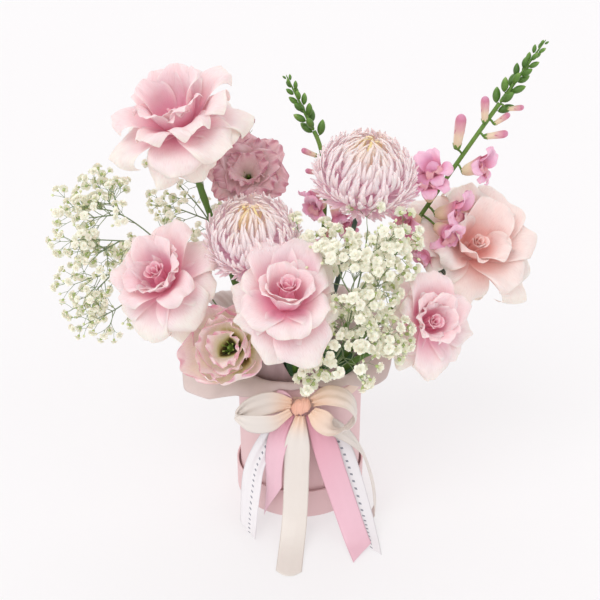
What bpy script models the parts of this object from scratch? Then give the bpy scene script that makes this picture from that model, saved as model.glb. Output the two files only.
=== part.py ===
"""Flower box: a round paper-covered hat box standing in its upturned lid, with a tied paper
collar, three ribbons and cut flowers pushed into a block of wet floral foam.

Frame: origin at the centre of the face that stands on the table, +Z up, -Y the front with the bow.
Lengths are metres. Every flower is built in place, with its object origin where its stem enters
the foam and its stem straight below that point, so it can be drawn out along the stem.
"""

import math

import bmesh
import bpy
from mathutils import Vector

# Box and lid
BOX_RADIUS = 0.075
BOX_TOP = 0.175
BOARD = 0.0022
LID_RADIUS = 0.080
LID_HEIGHT = 0.037
LID_BOARD = 0.0022
GAP = 0.0003
LINER_WALL = 0.0008
LINER_TOP = 0.168

# Foam and the stems in it
FOAM_RADIUS = 0.066
FOAM_TOP = 0.172
STEM_DEPTH = 0.025

# Paper and ribbon
PAPER_THICKNESS = 0.0005
RIBBON_THICKNESS = 0.0005
RIBBON_WIDTH = 0.029

SPRAY_STEM = 0.0012
SPRAY_HEAD = 0.0045

LATHE_STEPS = 14
UP = Vector((0.0, 0.0, 1.0))

parts = bpy.data.collections.new("flower_box")
cutters = bpy.data.collections.new("cutters")
materials = {}


def mm(*values):
    """A point given in millimetres."""
    return Vector(values) * 0.001


def material(name, colour, roughness):
    if name not in materials:
        new = bpy.data.materials.new(name)
        new.use_nodes = True
        shader = new.node_tree.nodes["Principled BSDF"]
        shader.inputs["Base Color"].default_value = (*colour, 1.0)
        shader.inputs["Roughness"].default_value = roughness
        shader.inputs["Metallic"].default_value = 0.0
        new.diffuse_color = (*colour, 1.0)
        materials[name] = new
    return materials[name]


def box_paper():
    return material("box_paper", (0.62, 0.44, 0.44), 0.7)


def collar_paper():
    return material("collar_paper", (0.66, 0.53, 0.53), 0.45)


def liner_film():
    return material("liner_film", (0.8, 0.8, 0.8), 0.3)


def foam():
    return material("foam", (0.03, 0.12, 0.04), 0.95)


def satin(colour_name):
    colours = {"cream": (0.83, 0.73, 0.60), "pink": (0.78, 0.38, 0.47), "white": (0.80, 0.79, 0.79)}
    return material("satin_" + colour_name, colours[colour_name], 0.35)


def petal(colour_name):
    colours = {
        "rose": (0.84, 0.50, 0.52),
        "blush": (0.86, 0.64, 0.57),
        "mum": (0.83, 0.56, 0.62),
        "mauve": (0.55, 0.25, 0.32),
        "cream": (0.80, 0.70, 0.60),
        "snap": (0.74, 0.32, 0.42),
        "gyp": (0.80, 0.82, 0.70),
    }
    return material("petal_" + colour_name, colours[colour_name], 0.55)


def green(colour_name):
    colours = {"stem": (0.10, 0.22, 0.05), "dark": (0.02, 0.06, 0.04), "fresh": (0.16, 0.30, 0.06)}
    return material("green_" + colour_name, colours[colour_name], 0.5)


def link(obj, look):
    obj.data.materials.append(look)
    parts.objects.link(obj)
    return obj


def cutter(obj):
    obj.hide_render = True
    obj.display_type = "WIRE"
    cutters.objects.link(obj)
    return obj


def mesh_object(name, bm):
    mesh = bpy.data.meshes.new(name)
    bm.to_mesh(mesh)
    bm.free()
    mesh.shade_smooth()
    return bpy.data.objects.new(name, mesh)


def aim(obj, origin, axis):
    obj.location = origin
    obj.rotation_mode = "QUATERNION"
    obj.rotation_quaternion = Vector(axis).normalized().to_track_quat("Z", "Y")
    return obj


def lathe(name, profile, look, origin=(0.0, 0.0, 0.0), axis=UP, steps=LATHE_STEPS, closed=False):
    """Turns a profile of (radius, height) pairs, listed top to bottom along its outer side."""
    bm = bmesh.new()
    verts = [bm.verts.new((radius, 0.0, height)) for radius, height in profile]
    for first, second in zip(verts, verts[1:]):
        bm.edges.new((first, second))
    if closed:
        bm.edges.new((verts[-1], verts[0]))
    obj = link(mesh_object(name, bm), look)
    screw = obj.modifiers.new("turn", "SCREW")
    screw.steps = screw.render_steps = steps
    screw.use_merge_vertices = True
    screw.merge_threshold = 0.00001
    screw.use_smooth_shade = True
    return aim(obj, origin, axis)


def ring(name, outer, inner, bottom, top, look, steps=48):
    profile = [(outer, top), (outer, bottom), (inner, bottom), (inner, top)]
    return lathe(name, profile, look, steps=steps, closed=True)


def bezier(first, handle, last, t):
    return first * (1 - t) ** 2 + handle * (2 * t * (1 - t)) + last * t ** 2


def spline(points, t):
    """A smooth curve through the points, for t from 0 to 1."""
    points = [Vector(p) for p in points]
    at = min(max(t, 0.0), 1.0) * (len(points) - 1)
    i = min(int(at), len(points) - 2)
    t = at - i
    before = points[i - 1] if i else points[0] * 2 - points[1]
    after = points[i + 2] if i + 2 < len(points) else points[-1] * 2 - points[-2]
    a, b = points[i], points[i + 1]
    return 0.5 * (2 * a + (b - before) * t + (2 * before - 5 * a + 4 * b - after) * t ** 2
                  + (3 * a - before - 3 * b + after) * t ** 3)


def tube(name, points, radius, look):
    """A round rod along the points, as a bevelled curve."""
    curve = bpy.data.curves.new(name, "CURVE")
    curve.dimensions = "3D"
    curve.bevel_depth = radius
    curve.bevel_resolution = 2
    curve.use_fill_caps = True
    line = curve.splines.new("POLY")
    line.points.add(len(points) - 1)
    for i, point in enumerate(points):
        line.points[i].co = (*point, 1.0)
    return link(bpy.data.objects.new(name, curve), look)


def warped_sheet(name, columns, rows, place, thickness, look):
    """A sheet whose grid point at (u, v), both from 0 to 1, is moved to place(u, v)."""
    bm = bmesh.new()
    bmesh.ops.create_grid(bm, x_segments=columns, y_segments=rows, size=0.5)
    for vert in bm.verts:
        vert.co = place(vert.co.x + 0.5, vert.co.y + 0.5)
    obj = link(mesh_object(name, bm), look)
    shell = obj.modifiers.new("thickness", "SOLIDIFY")
    shell.thickness = thickness
    shell.offset = 0.0
    return obj


# ---- box, lid, liner, foam

def make_lid():
    lathe("lid_disc", [(0.0, LID_BOARD), (LID_RADIUS - LID_BOARD - GAP, LID_BOARD),
                       (LID_RADIUS - LID_BOARD - GAP, 0.0), (0.0, 0.0)], box_paper(), steps=48)
    ring("lid_rim", LID_RADIUS, LID_RADIUS - LID_BOARD, 0.0, LID_HEIGHT, box_paper())


def make_box():
    floor = LID_BOARD + GAP
    ring("box_tube", BOX_RADIUS, BOX_RADIUS - BOARD, floor, BOX_TOP, box_paper())
    inside = BOX_RADIUS - BOARD - GAP
    lathe("box_base_disc", [(0.0, floor + BOARD), (inside, floor + BOARD), (inside, floor),
                            (0.0, floor)], box_paper(), steps=48)
    low = floor + BOARD + GAP
    wall = inside - LINER_WALL
    lathe("box_liner", [(0.0, low + LINER_WALL), (wall, low + LINER_WALL), (wall, LINER_TOP),
                        (inside, LINER_TOP), (inside, low), (0.0, low)],
          liner_film(), steps=48)
    return low + LINER_WALL + GAP


def make_foam(bottom, stems):
    """The block, with a hole for each stem in the list of (point, direction, radius)."""
    block = lathe("foam_block", [(0.0, FOAM_TOP), (FOAM_RADIUS, FOAM_TOP), (FOAM_RADIUS, bottom),
                                 (0.0, bottom)], foam(), steps=40)
    block.data.shade_flat()
    for number, (point, direction, radius) in enumerate(stems):
        bm = bmesh.new()
        length = 2 * (STEM_DEPTH + 2 * GAP)
        bmesh.ops.create_cone(bm, cap_ends=True, segments=8, radius1=radius + 0.0006,
                              radius2=radius + 0.0006, depth=length)
        hole = cutter(mesh_object("stem_hole_%02d" % number, bm))
        aim(hole, point, direction)
        cut = block.modifiers.new("stem hole", "BOOLEAN")
        cut.object = hole
        cut.operation = "DIFFERENCE"


# ---- paper collar

PAPER_LOW = 0.150
PAPER_INSIDE = 0.0690
PAPER_RIM_RADIUS = 0.0722
PAPER_RIM_HEIGHT = 0.1795


def collar_sheet(name, edge, folds):
    """A paper sheet from inside the box out over its rim to an edge of (degrees, radius, height)."""
    def place(u, v):
        degrees, radius, height = spline([Vector(point) for point in edge], u)
        turn = math.radians(degrees)
        ripple = math.sin(folds * math.pi * u)
        if v < 0.25:
            along = v / 0.25
            r = PAPER_INSIDE + (PAPER_RIM_RADIUS - PAPER_INSIDE) * along ** 2
            z = PAPER_LOW + (PAPER_RIM_HEIGHT - PAPER_LOW) * along
        else:
            along = (v - 0.25) / 0.75
            rim = Vector((PAPER_RIM_RADIUS, PAPER_RIM_HEIGHT))
            out = Vector((radius * 0.001, height * 0.001))
            bulge = 0.010 + 0.22 * (out - rim).length
            lift = rim.lerp(out, 0.5) + Vector((0.0, bulge + 0.004 * ripple))
            r, z = bezier(rim, lift, out, along)
        return Vector((r * math.cos(turn), r * math.sin(turn), z))
    return warped_sheet(name, 12, 8, place, PAPER_THICKNESS, collar_paper())


def make_collar():
    left = [(-93, 80, 174), (-115, 86, 174), (-140, 112, 166), (-161, 138, 163), (-180, 142, 206),
            (-190, 126, 238)]
    right = [(-87, 80, 174), (-65, 86, 176), (-40, 98, 170), (-16, 107, 162), (0, 112, 190),
             (10, 112, 206)]
    collar_sheet("paper_front_left", left, 5)
    collar_sheet("paper_front_right", right, 5)
    back_left = [(168, 124, 240), (148, 118, 232), (125, 112, 236), (92, 106, 228)]
    back_right = [(88, 106, 228), (60, 112, 226), (35, 112, 216), (12, 110, 206)]
    collar_sheet("paper_back_left", back_left, 3)
    collar_sheet("paper_back_right", back_right, 3)


# ---- ribbons

def ribbon(name, path, sides, colour, start=0.35, middle=1.0, end=None, slant=0.0, segments=14):
    """A ribbon along path (mm) whose width lies along sides.

    start, middle and end are shares of the full width; it changes over the first and last fifth.
    slant lengthens one edge, for a cut across the ribbon at an angle.
    """
    path = [mm(*point) for point in path]
    end = middle if end is None else end

    def place(u, v):
        across = v - 0.5
        t = u * (1.0 - abs(slant) * (0.5 + math.copysign(across, across * slant)))
        centre = spline(path, t)
        ahead = spline(path, min(t + 0.01, 1.0)) - spline(path, max(t - 0.01, 0.0))
        side = spline(sides, t)
        side = (side - ahead * (side.dot(ahead) / ahead.length_squared)).normalized()
        share = middle
        if t < 0.2:
            share = start + (middle - start) * math.sin(t / 0.2 * math.pi / 2)
        elif t > 0.8:
            share = end + (middle - end) * math.sin((1.0 - t) / 0.2 * math.pi / 2)
        return centre + side * (across * RIBBON_WIDTH * share)
    return warped_sheet(name, segments, 3, place, RIBBON_THICKNESS, satin(colour))


def make_tails():
    wide = (1.0, 0.0, 0.0)
    ribbon("tail_cream_front", [(0, -98, 155), (-3, -101, 120), (-4, -103, 82), (-5, -109, 46),
                                (-7, -121, 20), (-10, -144, 4), (-14, -181, 1.2)],
           [wide, wide], "cream")
    ribbon("tail_pink_right", [(12, -93, 154), (24, -94, 121), (35, -99, 82), (50, -111, 36),
                               (61, -129, 7), (68, -156, 1.6)],
           [wide, (1.0, 0.25, 0.1), (0.93, 0.35, 0.03)], "pink", slant=0.14)
    ribbon("tail_white_right", [(18, -88, 155), (34, -89, 112), (50, -95, 68), (65, -108, 26),
                                (73, -121, 6), (80, -146, 1.4)],
           [wide, (1.0, 0.3, 0.0), (0.93, 0.4, 0.0)], "white", slant=-0.16)
    ribbon("tail_pink_left", [(-10, -93, 154), (-27, -93, 118), (-33, -93, 76), (-36, -92, 34),
                              (-38, -91, 7)],
           [wide, (0.8, 0.5, 0.0), (0.65, 0.6, 0.0)], "pink", slant=-0.16, middle=0.8)
    ribbon("tail_white_left", [(-18, -87, 155), (-38, -86, 111), (-55, -90, 73), (-63, -97, 42),
                               (-66, -106, 12), (-65, -126, 1.6)],
           [wide, (0.8, 0.35, 0.1), (0.8, 0.4, 0.0), (0.9, 0.3, 0.0)], "white", slant=0.12,
           start=0.3, middle=0.85)
    flank = (0.0, 0.9, -0.35)
    ribbon("tail_cream_side", [(18, -98, 154), (34, -96, 142), (53, -89, 125), (69, -80, 102), (79, -76, 80),
                               (88, -75, 50), (91, -77, 24), (88, -82, 11), (81, -87, 5)],
           [(0.3, 0.3, 0.9), (0.2, 0.8, 0.3), flank, flank, (0.0, 1.0, 0.0), (0.1, 0.95, 0.0)],
           "cream",
           start=0.25, middle=0.7)


def make_bow():
    bm = bmesh.new()
    bmesh.ops.create_uvsphere(bm, u_segments=12, v_segments=8, radius=1.0)
    bmesh.ops.scale(bm, vec=mm(10, 6.5, 9), verts=bm.verts)
    knot = link(mesh_object("bow_knot", bm), satin("cream"))
    knot.location = mm(2, -95, 166)
    ribbon("bow_loop_left", [(-9.5, -94, 169), (-30, -94, 173), (-54, -93, 165), (-70, -93, 156),
                             (-71, -100, 149), (-50, -110, 150), (-27, -110, 157),
                             (-10, -101, 163)],
           [(0, 0.3, 1), (0.1, 0.3, 1), (0.3, 0.1, 1), (-0.1, -0.2, 1), (0, -0.5, 1), (0, -0.4, 1)],
           "cream", end=0.35, segments=20)
    ribbon("bow_loop_right", [(13.5, -94, 171), (30, -97, 178), (48, -97, 174), (62, -95, 160),
                              (63, -100, 143), (50, -108, 138), (32, -108, 148), (14, -101, 162)],
           [(0, 0.3, 1), (0.3, 0.6, 0.8), (0.6, 0.7, 0.5), (0.8, 0.7, 0), (0.5, 0.9, -0.2),
            (0, 0.6, 0.8), (0, 0.3, 1)],
           "cream", end=0.35, segments=20)
    ring("ribbon_band", BOX_RADIUS + 0.0009, BOX_RADIUS + 0.0003, 0.152, 0.166, satin("cream"))
    ribbon("ribbon_pink_stub", [(-9, -90, 168), (-18, -88, 171), (-27, -86, 173)],
           [(0, 0.2, 1), (0, 0.2, 1)], "pink", start=0.3, middle=0.5, segments=4)


# ---- flowers

FLOWERS = {}


def plant(name, entry, lean, head, facing, stem_radius, look, stem_end=0.0, swell=None):
    """A stem from the foam to the back of a head, and the frame of that head.

    entry: (x, y) in mm where the stem enters the foam's top; lean: direction of its straight end;
    head: centre of the back of the flower, mm; facing: the flower's axis.
    """
    entry = mm(entry[0], entry[1], FOAM_TOP * 1000)
    lean = Vector(lean).normalized()
    facing = Vector(facing).normalized()
    base = mm(*head)
    end = base - facing * (stem_end + GAP)
    reach = (end - entry).length
    start = entry + lean * 0.006
    points = [entry - lean * STEM_DEPTH, entry, start]
    handles = [start + lean * reach * 0.35, end - facing * reach * 0.22]
    neck = end - facing * 0.004
    for step in range(1, 8):
        t = step / 7
        low = bezier(start, handles[0], handles[1], t)
        high = bezier(handles[0], handles[1], neck, t)
        points.append(low * (1 - t) + high * t)
    points.append(end)
    stem = tube(name + "_stem", [point - entry for point in points], stem_radius, look)
    stem.location = entry
    FLOWERS[name] = (entry, lean, stem_radius)
    return base, facing


def head_profile(points, radius, height):
    """Scales a profile of (share of radius, share of height) pairs, top to bottom."""
    return [(r * radius, z * height) for r, z in points]


ROSE = [(0.0, 0.88), (0.30, 0.93), (0.62, 0.86), (0.86, 0.66), (1.0, 0.42), (0.92, 0.27),
        (0.66, 0.21), (0.34, 0.13), (0.10, 0.0), (0.0, 0.0)]
CALYX = [(0.0, 0.0), (0.75, 0.0), (1.0, -0.35), (0.75, -0.8), (0.45, -1.0), (0.0, -1.0)]
MUM = [(0.0, 1.0), (0.35, 0.98), (0.68, 0.86), (0.90, 0.64), (1.0, 0.40), (0.88, 0.16),
       (0.50, 0.03), (0.12, 0.0), (0.0, 0.0)]
BELL = [(0.0, 0.25), (0.22, 0.34), (0.55, 0.80), (0.80, 0.98), (1.0, 0.95), (0.97, 0.70),
        (0.72, 0.40), (0.40, 0.14), (0.15, 0.0), (0.0, 0.0)]
BUD = [(0.0, 1.0), (0.55, 0.97), (0.95, 0.70), (1.0, 0.40), (0.60, 0.12), (0.25, 0.0), (0.0, 0.0)]
FLORET = [(0.0, 1.0), (0.60, 0.95), (1.0, 0.72), (0.85, 0.45), (0.50, 0.25), (0.35, 0.0),
          (0.0, 0.0)]


def rose(number, entry, lean, centre, facing, radius, height, colour="rose"):
    """A reflexed rose: bloom, swollen calyx and stem."""
    name = "rose_%d" % number
    facing = Vector(facing).normalized()
    back = Vector(centre) - facing * height * 420
    calyx = 0.014
    base, axis = plant(name, entry, lean, back, facing, 0.0038, green("stem"), stem_end=calyx)
    lathe(name + "_bloom", head_profile(ROSE, radius, height), petal(colour), base, axis)
    lathe(name + "_calyx", head_profile(CALYX, 0.0085, calyx - GAP), green("stem"),
          base - axis * GAP, axis, steps=10)


def mum(number, entry, lean, centre, facing, radius, height):
    name = "mum_%d" % number
    facing = Vector(facing).normalized()
    back = Vector(centre) - facing * height * 480
    base, axis = plant(name, entry, lean, back, facing, 0.0032, green("dark"))
    lathe(name + "_bloom", head_profile(MUM, radius, height), petal("mum"), base, axis)


def lisianthus(number, entry, lean, centre, facing, radius, height, colour, shape):
    name = "lisianthus_%d" % number
    facing = Vector(facing).normalized()
    back = Vector(centre) - facing * height * 600
    base, axis = plant(name, entry, lean, back, facing, 0.0022, green("stem"))
    lathe(name + "_bloom", head_profile(shape, radius, height), petal(colour), base, axis, steps=12)


def snapdragon(number, entry, lean, spike_base, spike_axis, spike_length, florets):
    """A stem, its closed green buds as one tapered spike, and its pink flowers."""
    name = "snapdragon_%d" % number
    base, axis = plant(name, entry, lean, spike_base, spike_axis, 0.0028, green("fresh"))
    spike = [(0.0, 1.0), (0.3, 0.97), (0.65, 0.75), (0.9, 0.4), (1.0, 0.15), (0.5, 0.0), (0.0, 0.0)]
    lathe(name + "_bud_spike", head_profile(spike, 0.0095, spike_length), green("fresh"), base, axis,
          steps=10)
    for count, (foot, facing, radius, length) in enumerate(florets, 1):
        lathe("%s_floret_%d" % (name, count), head_profile(FLORET, radius, length), petal("snap"),
              mm(*foot), facing, steps=10)


def leaf(name, foot, tip, side, width):
    """A pointed leaf blade with a raised middle."""
    foot, tip, side = mm(*foot), mm(*tip), Vector(side).normalized()
    along = tip - foot
    rise = along.normalized().cross(side)

    def place(u, v):
        across = 2 * v - 1
        half = 0.0005 + width * 0.5 * math.sin(math.pi * (0.04 + 0.92 * u)) ** 0.8
        lift = rise * (0.004 * math.sin(math.pi * u) - 0.004 * across * across)
        return foot + along * u + side * (across * half) + lift
    return warped_sheet(name, 8, 4, place, 0.0006, green("dark"))


def welded(curve_object):
    """Replaces a curve object by a closed mesh object of the same shape."""
    bpy.context.scene.collection.objects.link(curve_object)
    depsgraph = bpy.context.evaluated_depsgraph_get()
    mesh = bpy.data.meshes.new_from_object(curve_object.evaluated_get(depsgraph))
    bm = bmesh.new()
    bm.from_mesh(mesh)
    bmesh.ops.remove_doubles(bm, verts=bm.verts, dist=0.00001)
    bm.to_mesh(mesh)
    bm.free()
    solid = bpy.data.objects.new(curve_object.name + "_solid", mesh)
    bpy.data.objects.remove(curve_object)
    return solid


def shoot(name, points, radius, head):
    """A thin rod along the points that swells into a flower head of radius head at its end."""
    reach = (points[-1] - points[-2]).normalized()
    chain = [(point, radius) for point in points]
    for along, share in ((0.2, 0.75), (0.9, 1.0), (1.7, 0.6)):
        chain.append((points[-1] + reach * head * along, head * share))
    curve = bpy.data.curves.new(name, "CURVE")
    curve.dimensions = "3D"
    curve.bevel_depth = 1.0
    curve.bevel_resolution = 1
    curve.use_fill_caps = True
    line = curve.splines.new("POLY")
    line.points.add(len(chain) - 1)
    for i, (point, thickness) in enumerate(chain):
        line.points[i].co = (*point, 1.0)
        line.points[i].radius = thickness
    return welded(bpy.data.objects.new(name, curve))


def spray(name, entry, lean, main_stem, side_shoots):
    """Baby's breath: a main stem, and side shoots that each start on a point of an earlier one."""
    entry = mm(entry[0], entry[1], FOAM_TOP * 1000)
    lean = Vector(lean).normalized()
    foot = [-lean * STEM_DEPTH, Vector((0.0, 0.0, 0.0))]
    points = foot + [mm(*point) - entry for point in main_stem]
    body = shoot(name + "_main", points, SPRAY_STEM, SPRAY_HEAD)
    body.name = name
    link(body, petal("gyp"))
    body.location = entry
    for number, side in enumerate(side_shoots):
        points = [mm(*point) - entry for point in side]
        branch = cutter(shoot("%s_shoot_%d" % (name, number), points, SPRAY_STEM * 0.8, SPRAY_HEAD))
        branch.location = entry
        join = body.modifiers.new("side shoot", "BOOLEAN")
        join.object = branch
        join.operation = "UNION"
    FLOWERS[name] = (entry, lean, SPRAY_STEM)
    return body


def make_roses():
    rose(1, (-42, 18), (-0.38, 0.05, 0.92), (-124, -30, 472), (-0.18, -0.30, 0.93), 0.058, 0.062)
    rose(2, (-46, -14), (-0.45, -0.12, 0.9), (-146, -70, 314), (-0.35, -0.60, 0.70), 0.050, 0.056)
    rose(3, (-4, -48), (-0.03, -0.45, 0.9), (-16, -120, 301), (-0.02, -0.72, 0.69), 0.050, 0.056)
    rose(4, (46, -30), (0.62, -0.25, 0.75), (141, -75, 262), (0.30, -0.75, 0.55), 0.045, 0.054)
    rose(5, (50, 2), (0.58, 0.02, 0.8), (205, 15, 315), (0.45, -0.55, 0.70), 0.055, 0.058, "blush")
    leaf("rose_3_leaf", (8, -75, 213), (38, -90, 216), (0.1, 0.6, 0.7), 0.014)
    leaf("rose_5_leaf", (150, 4, 262), (162, -20, 300), (0.9, 0.2, -0.3), 0.016)


def make_mums():
    mum(1, (-18, -22), (-0.12, -0.40, 0.91), (-54, -32, 340), (-0.05, -0.35, 0.93), 0.045, 0.060)
    mum(2, (18, -4), (0.20, 0.0, 0.98), (66, 0, 402), (0.12, -0.25, 0.95), 0.051, 0.062)


def make_lisianthus():
    lisianthus(1, (-14, 20), (-0.12, 0.05, 0.99), (-60, 46, 393), (0.0, -0.75, 0.66), 0.038, 0.040,
               "mauve", BELL)
    lisianthus(2, (-30, -42), (-0.35, -0.30, 0.88), (-80, -84, 238), (-0.25, -0.80, 0.50), 0.040,
               0.042, "cream", BELL)
    lisianthus(3, (-28, 38), (-0.08, 0.18, 0.98), (-71, 86, 437), (0.10, -0.20, 0.97), 0.016, 0.048,
               "mauve", BUD)


def make_snapdragons():
    snapdragon(1, (38, 30), (0.50, 0.02, 0.86), (221, 39, 474), (0.54, 0.02, 0.84), 0.080,
               [((160, 28, 384), (-0.60, -0.55, 0.55), 0.016, 0.026),
                ((184, 31, 398), (0.60, -0.60, 0.50), 0.016, 0.026)])
    snapdragon(2, (8, 40), (0.16, 0.12, 0.98), (16, 68, 436), (-0.45, 0.05, 0.89), 0.070,
               [((29, 55, 352), (-0.5, -0.85, 0.2), 0.014, 0.022),
                ((44, 58, 320), (0.7, -0.6, 0.3), 0.014, 0.022)])


def make_sprays():
    spray("gypsophila_1", (-56, 4), (-0.55, 0.0, 0.83), [
        (-62, 4, 181), (-110, 3, 262), (-160, 0, 324), (-205, -6, 362), (-250, -12, 388),
    ], [
        [(-110, 3, 262), (-165, -4, 282), (-225, -14, 292), (-262, -20, 285)],
        [(-160, 0, 324), (-210, -10, 330), (-255, -16, 335)],
        [(-205, -6, 362), (-228, 4, 390)],
        [(-205, -6, 362), (-238, -12, 360)],
        [(-165, -4, 282), (-215, -20, 250), (-240, -26, 240)],
        [(-225, -14, 292), (-256, -20, 262)],
        [(-210, -10, 330), (-238, -8, 312)],
    ])
    spray("gypsophila_2", (-50, 26), (-0.25, 0.0, 0.97), [
        (-53, 26, 184), (-78, 26, 270), (-106, 26, 338), (-150, 24, 388),
    ], [
        [(-106, 26, 338), (-112, 30, 392)],
        [(-106, 26, 338), (-142, 18, 348)],
    ])
    spray("gypsophila_3", (2, -8), (0.0, -0.15, 0.99), [
        (2, -10, 185), (4, -24, 260), (8, -40, 318), (2, -44, 345),
    ], [
        [(8, -40, 318), (20, -42, 340)],
        [(4, -24, 260), (26, -38, 308)],
    ])
    spray("gypsophila_4", (26, -42), (0.25, -0.45, 0.85), [
        (29, -48, 183), (46, -78, 232), (58, -84, 290), (68, -66, 330), (72, -52, 358),
    ], [
        [(46, -78, 232), (66, -92, 262), (78, -80, 292)],
        [(46, -78, 232), (52, -100, 250), (50, -104, 276)],
        [(58, -84, 290), (44, -86, 316), (40, -76, 332)],
        [(68, -66, 330), (96, -62, 352)],
        [(58, -84, 290), (82, -66, 318), (106, -52, 326)],
        [(46, -78, 232), (47, -99, 226), (52, -104, 212)],
        [(47, -99, 226), (26, -106, 207)],
    ])


def main():
    for old in list(bpy.data.objects):
        bpy.data.objects.remove(old)
    bpy.context.scene.collection.children.link(parts)
    bpy.context.scene.collection.children.link(cutters)
    make_lid()
    foam_bottom = make_box()
    make_collar()
    make_tails()
    make_bow()
    make_roses()
    make_mums()
    make_lisianthus()
    make_snapdragons()
    make_sprays()
    make_foam(foam_bottom, list(FLOWERS.values()))


main()
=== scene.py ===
"""Looks of the flower box: petals, baby's breath, satin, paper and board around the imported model.

Places in the tables and calls are in mm and become metres through mm(); directions are vectors of
any length; colours are display values from 0 to 1.
"""

import math

import bpy
import numpy as np
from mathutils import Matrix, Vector


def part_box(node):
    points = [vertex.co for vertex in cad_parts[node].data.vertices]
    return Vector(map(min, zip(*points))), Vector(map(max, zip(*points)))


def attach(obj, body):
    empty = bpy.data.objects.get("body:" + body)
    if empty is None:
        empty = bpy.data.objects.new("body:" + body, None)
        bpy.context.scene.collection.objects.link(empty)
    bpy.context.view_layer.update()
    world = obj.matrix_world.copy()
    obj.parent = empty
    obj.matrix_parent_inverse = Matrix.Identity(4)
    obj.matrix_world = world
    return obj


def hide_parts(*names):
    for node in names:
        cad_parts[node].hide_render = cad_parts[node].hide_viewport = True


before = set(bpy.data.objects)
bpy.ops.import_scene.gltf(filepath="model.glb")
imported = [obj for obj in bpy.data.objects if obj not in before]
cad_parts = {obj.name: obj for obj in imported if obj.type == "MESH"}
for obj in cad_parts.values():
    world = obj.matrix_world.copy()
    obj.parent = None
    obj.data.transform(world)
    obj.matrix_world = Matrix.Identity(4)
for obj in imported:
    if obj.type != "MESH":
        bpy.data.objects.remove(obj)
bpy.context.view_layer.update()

UP = np.array((0.0, 0.0, 1.0))
GOLDEN = math.radians(137.508)
HEART_PETALS = 8


# ---- small maths

def mm(*values):
    return np.array(values, float) * 0.001


def unit(v):
    v = np.asarray(v, float)
    return v / np.linalg.norm(v)


def smooth(x, low, high):
    """0 before low, 1 after high, with a soft start and end."""
    t = np.clip((x - low) / (high - low), 0.0, 1.0)
    return t * t * (3 - 2 * t)


def basis(axis, spin=0.0):
    """Three unit vectors as rows, the last along axis, the first two turned by spin."""
    z = unit(axis)
    x = np.cross((0.0, 1.0, 0.0), z)
    x = unit(x if np.linalg.norm(x) > 0.05 else np.cross((1.0, 0.0, 0.0), z))
    y = np.cross(z, x)
    c, s = math.cos(spin), math.sin(spin)
    return np.array([x * c + y * s, y * c - x * s, z])


def spline(points, t):
    """A smooth curve through the points, at t from 0 to 1; t may be an array."""
    points = np.asarray(points, float)
    t = np.atleast_1d(np.clip(t, 0.0, 1.0)) * (len(points) - 1)
    i = np.minimum(t.astype(int), len(points) - 2)
    f = (t - i)[:, None]
    first = 2 * points[0] - points[1]
    last = 2 * points[-1] - points[-2]
    padded = np.vstack([first, points, last])
    a, b, c, d = padded[i], padded[i + 1], padded[i + 2], padded[i + 3]
    return 0.5 * (2 * b + (c - a) * f + (2 * a - 5 * b + 4 * c - d) * f ** 2
                  + (3 * b - a - 3 * c + d) * f ** 3)


def rings_of(profile, steps):
    """One ring of points round the z axis for each (radius, height)."""
    turn = np.linspace(0, 2 * math.pi, steps, endpoint=False)
    return np.array([[(r * math.cos(t), r * math.sin(t), h) for t in turn] for r, h in profile])


# ---- meshes

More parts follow.
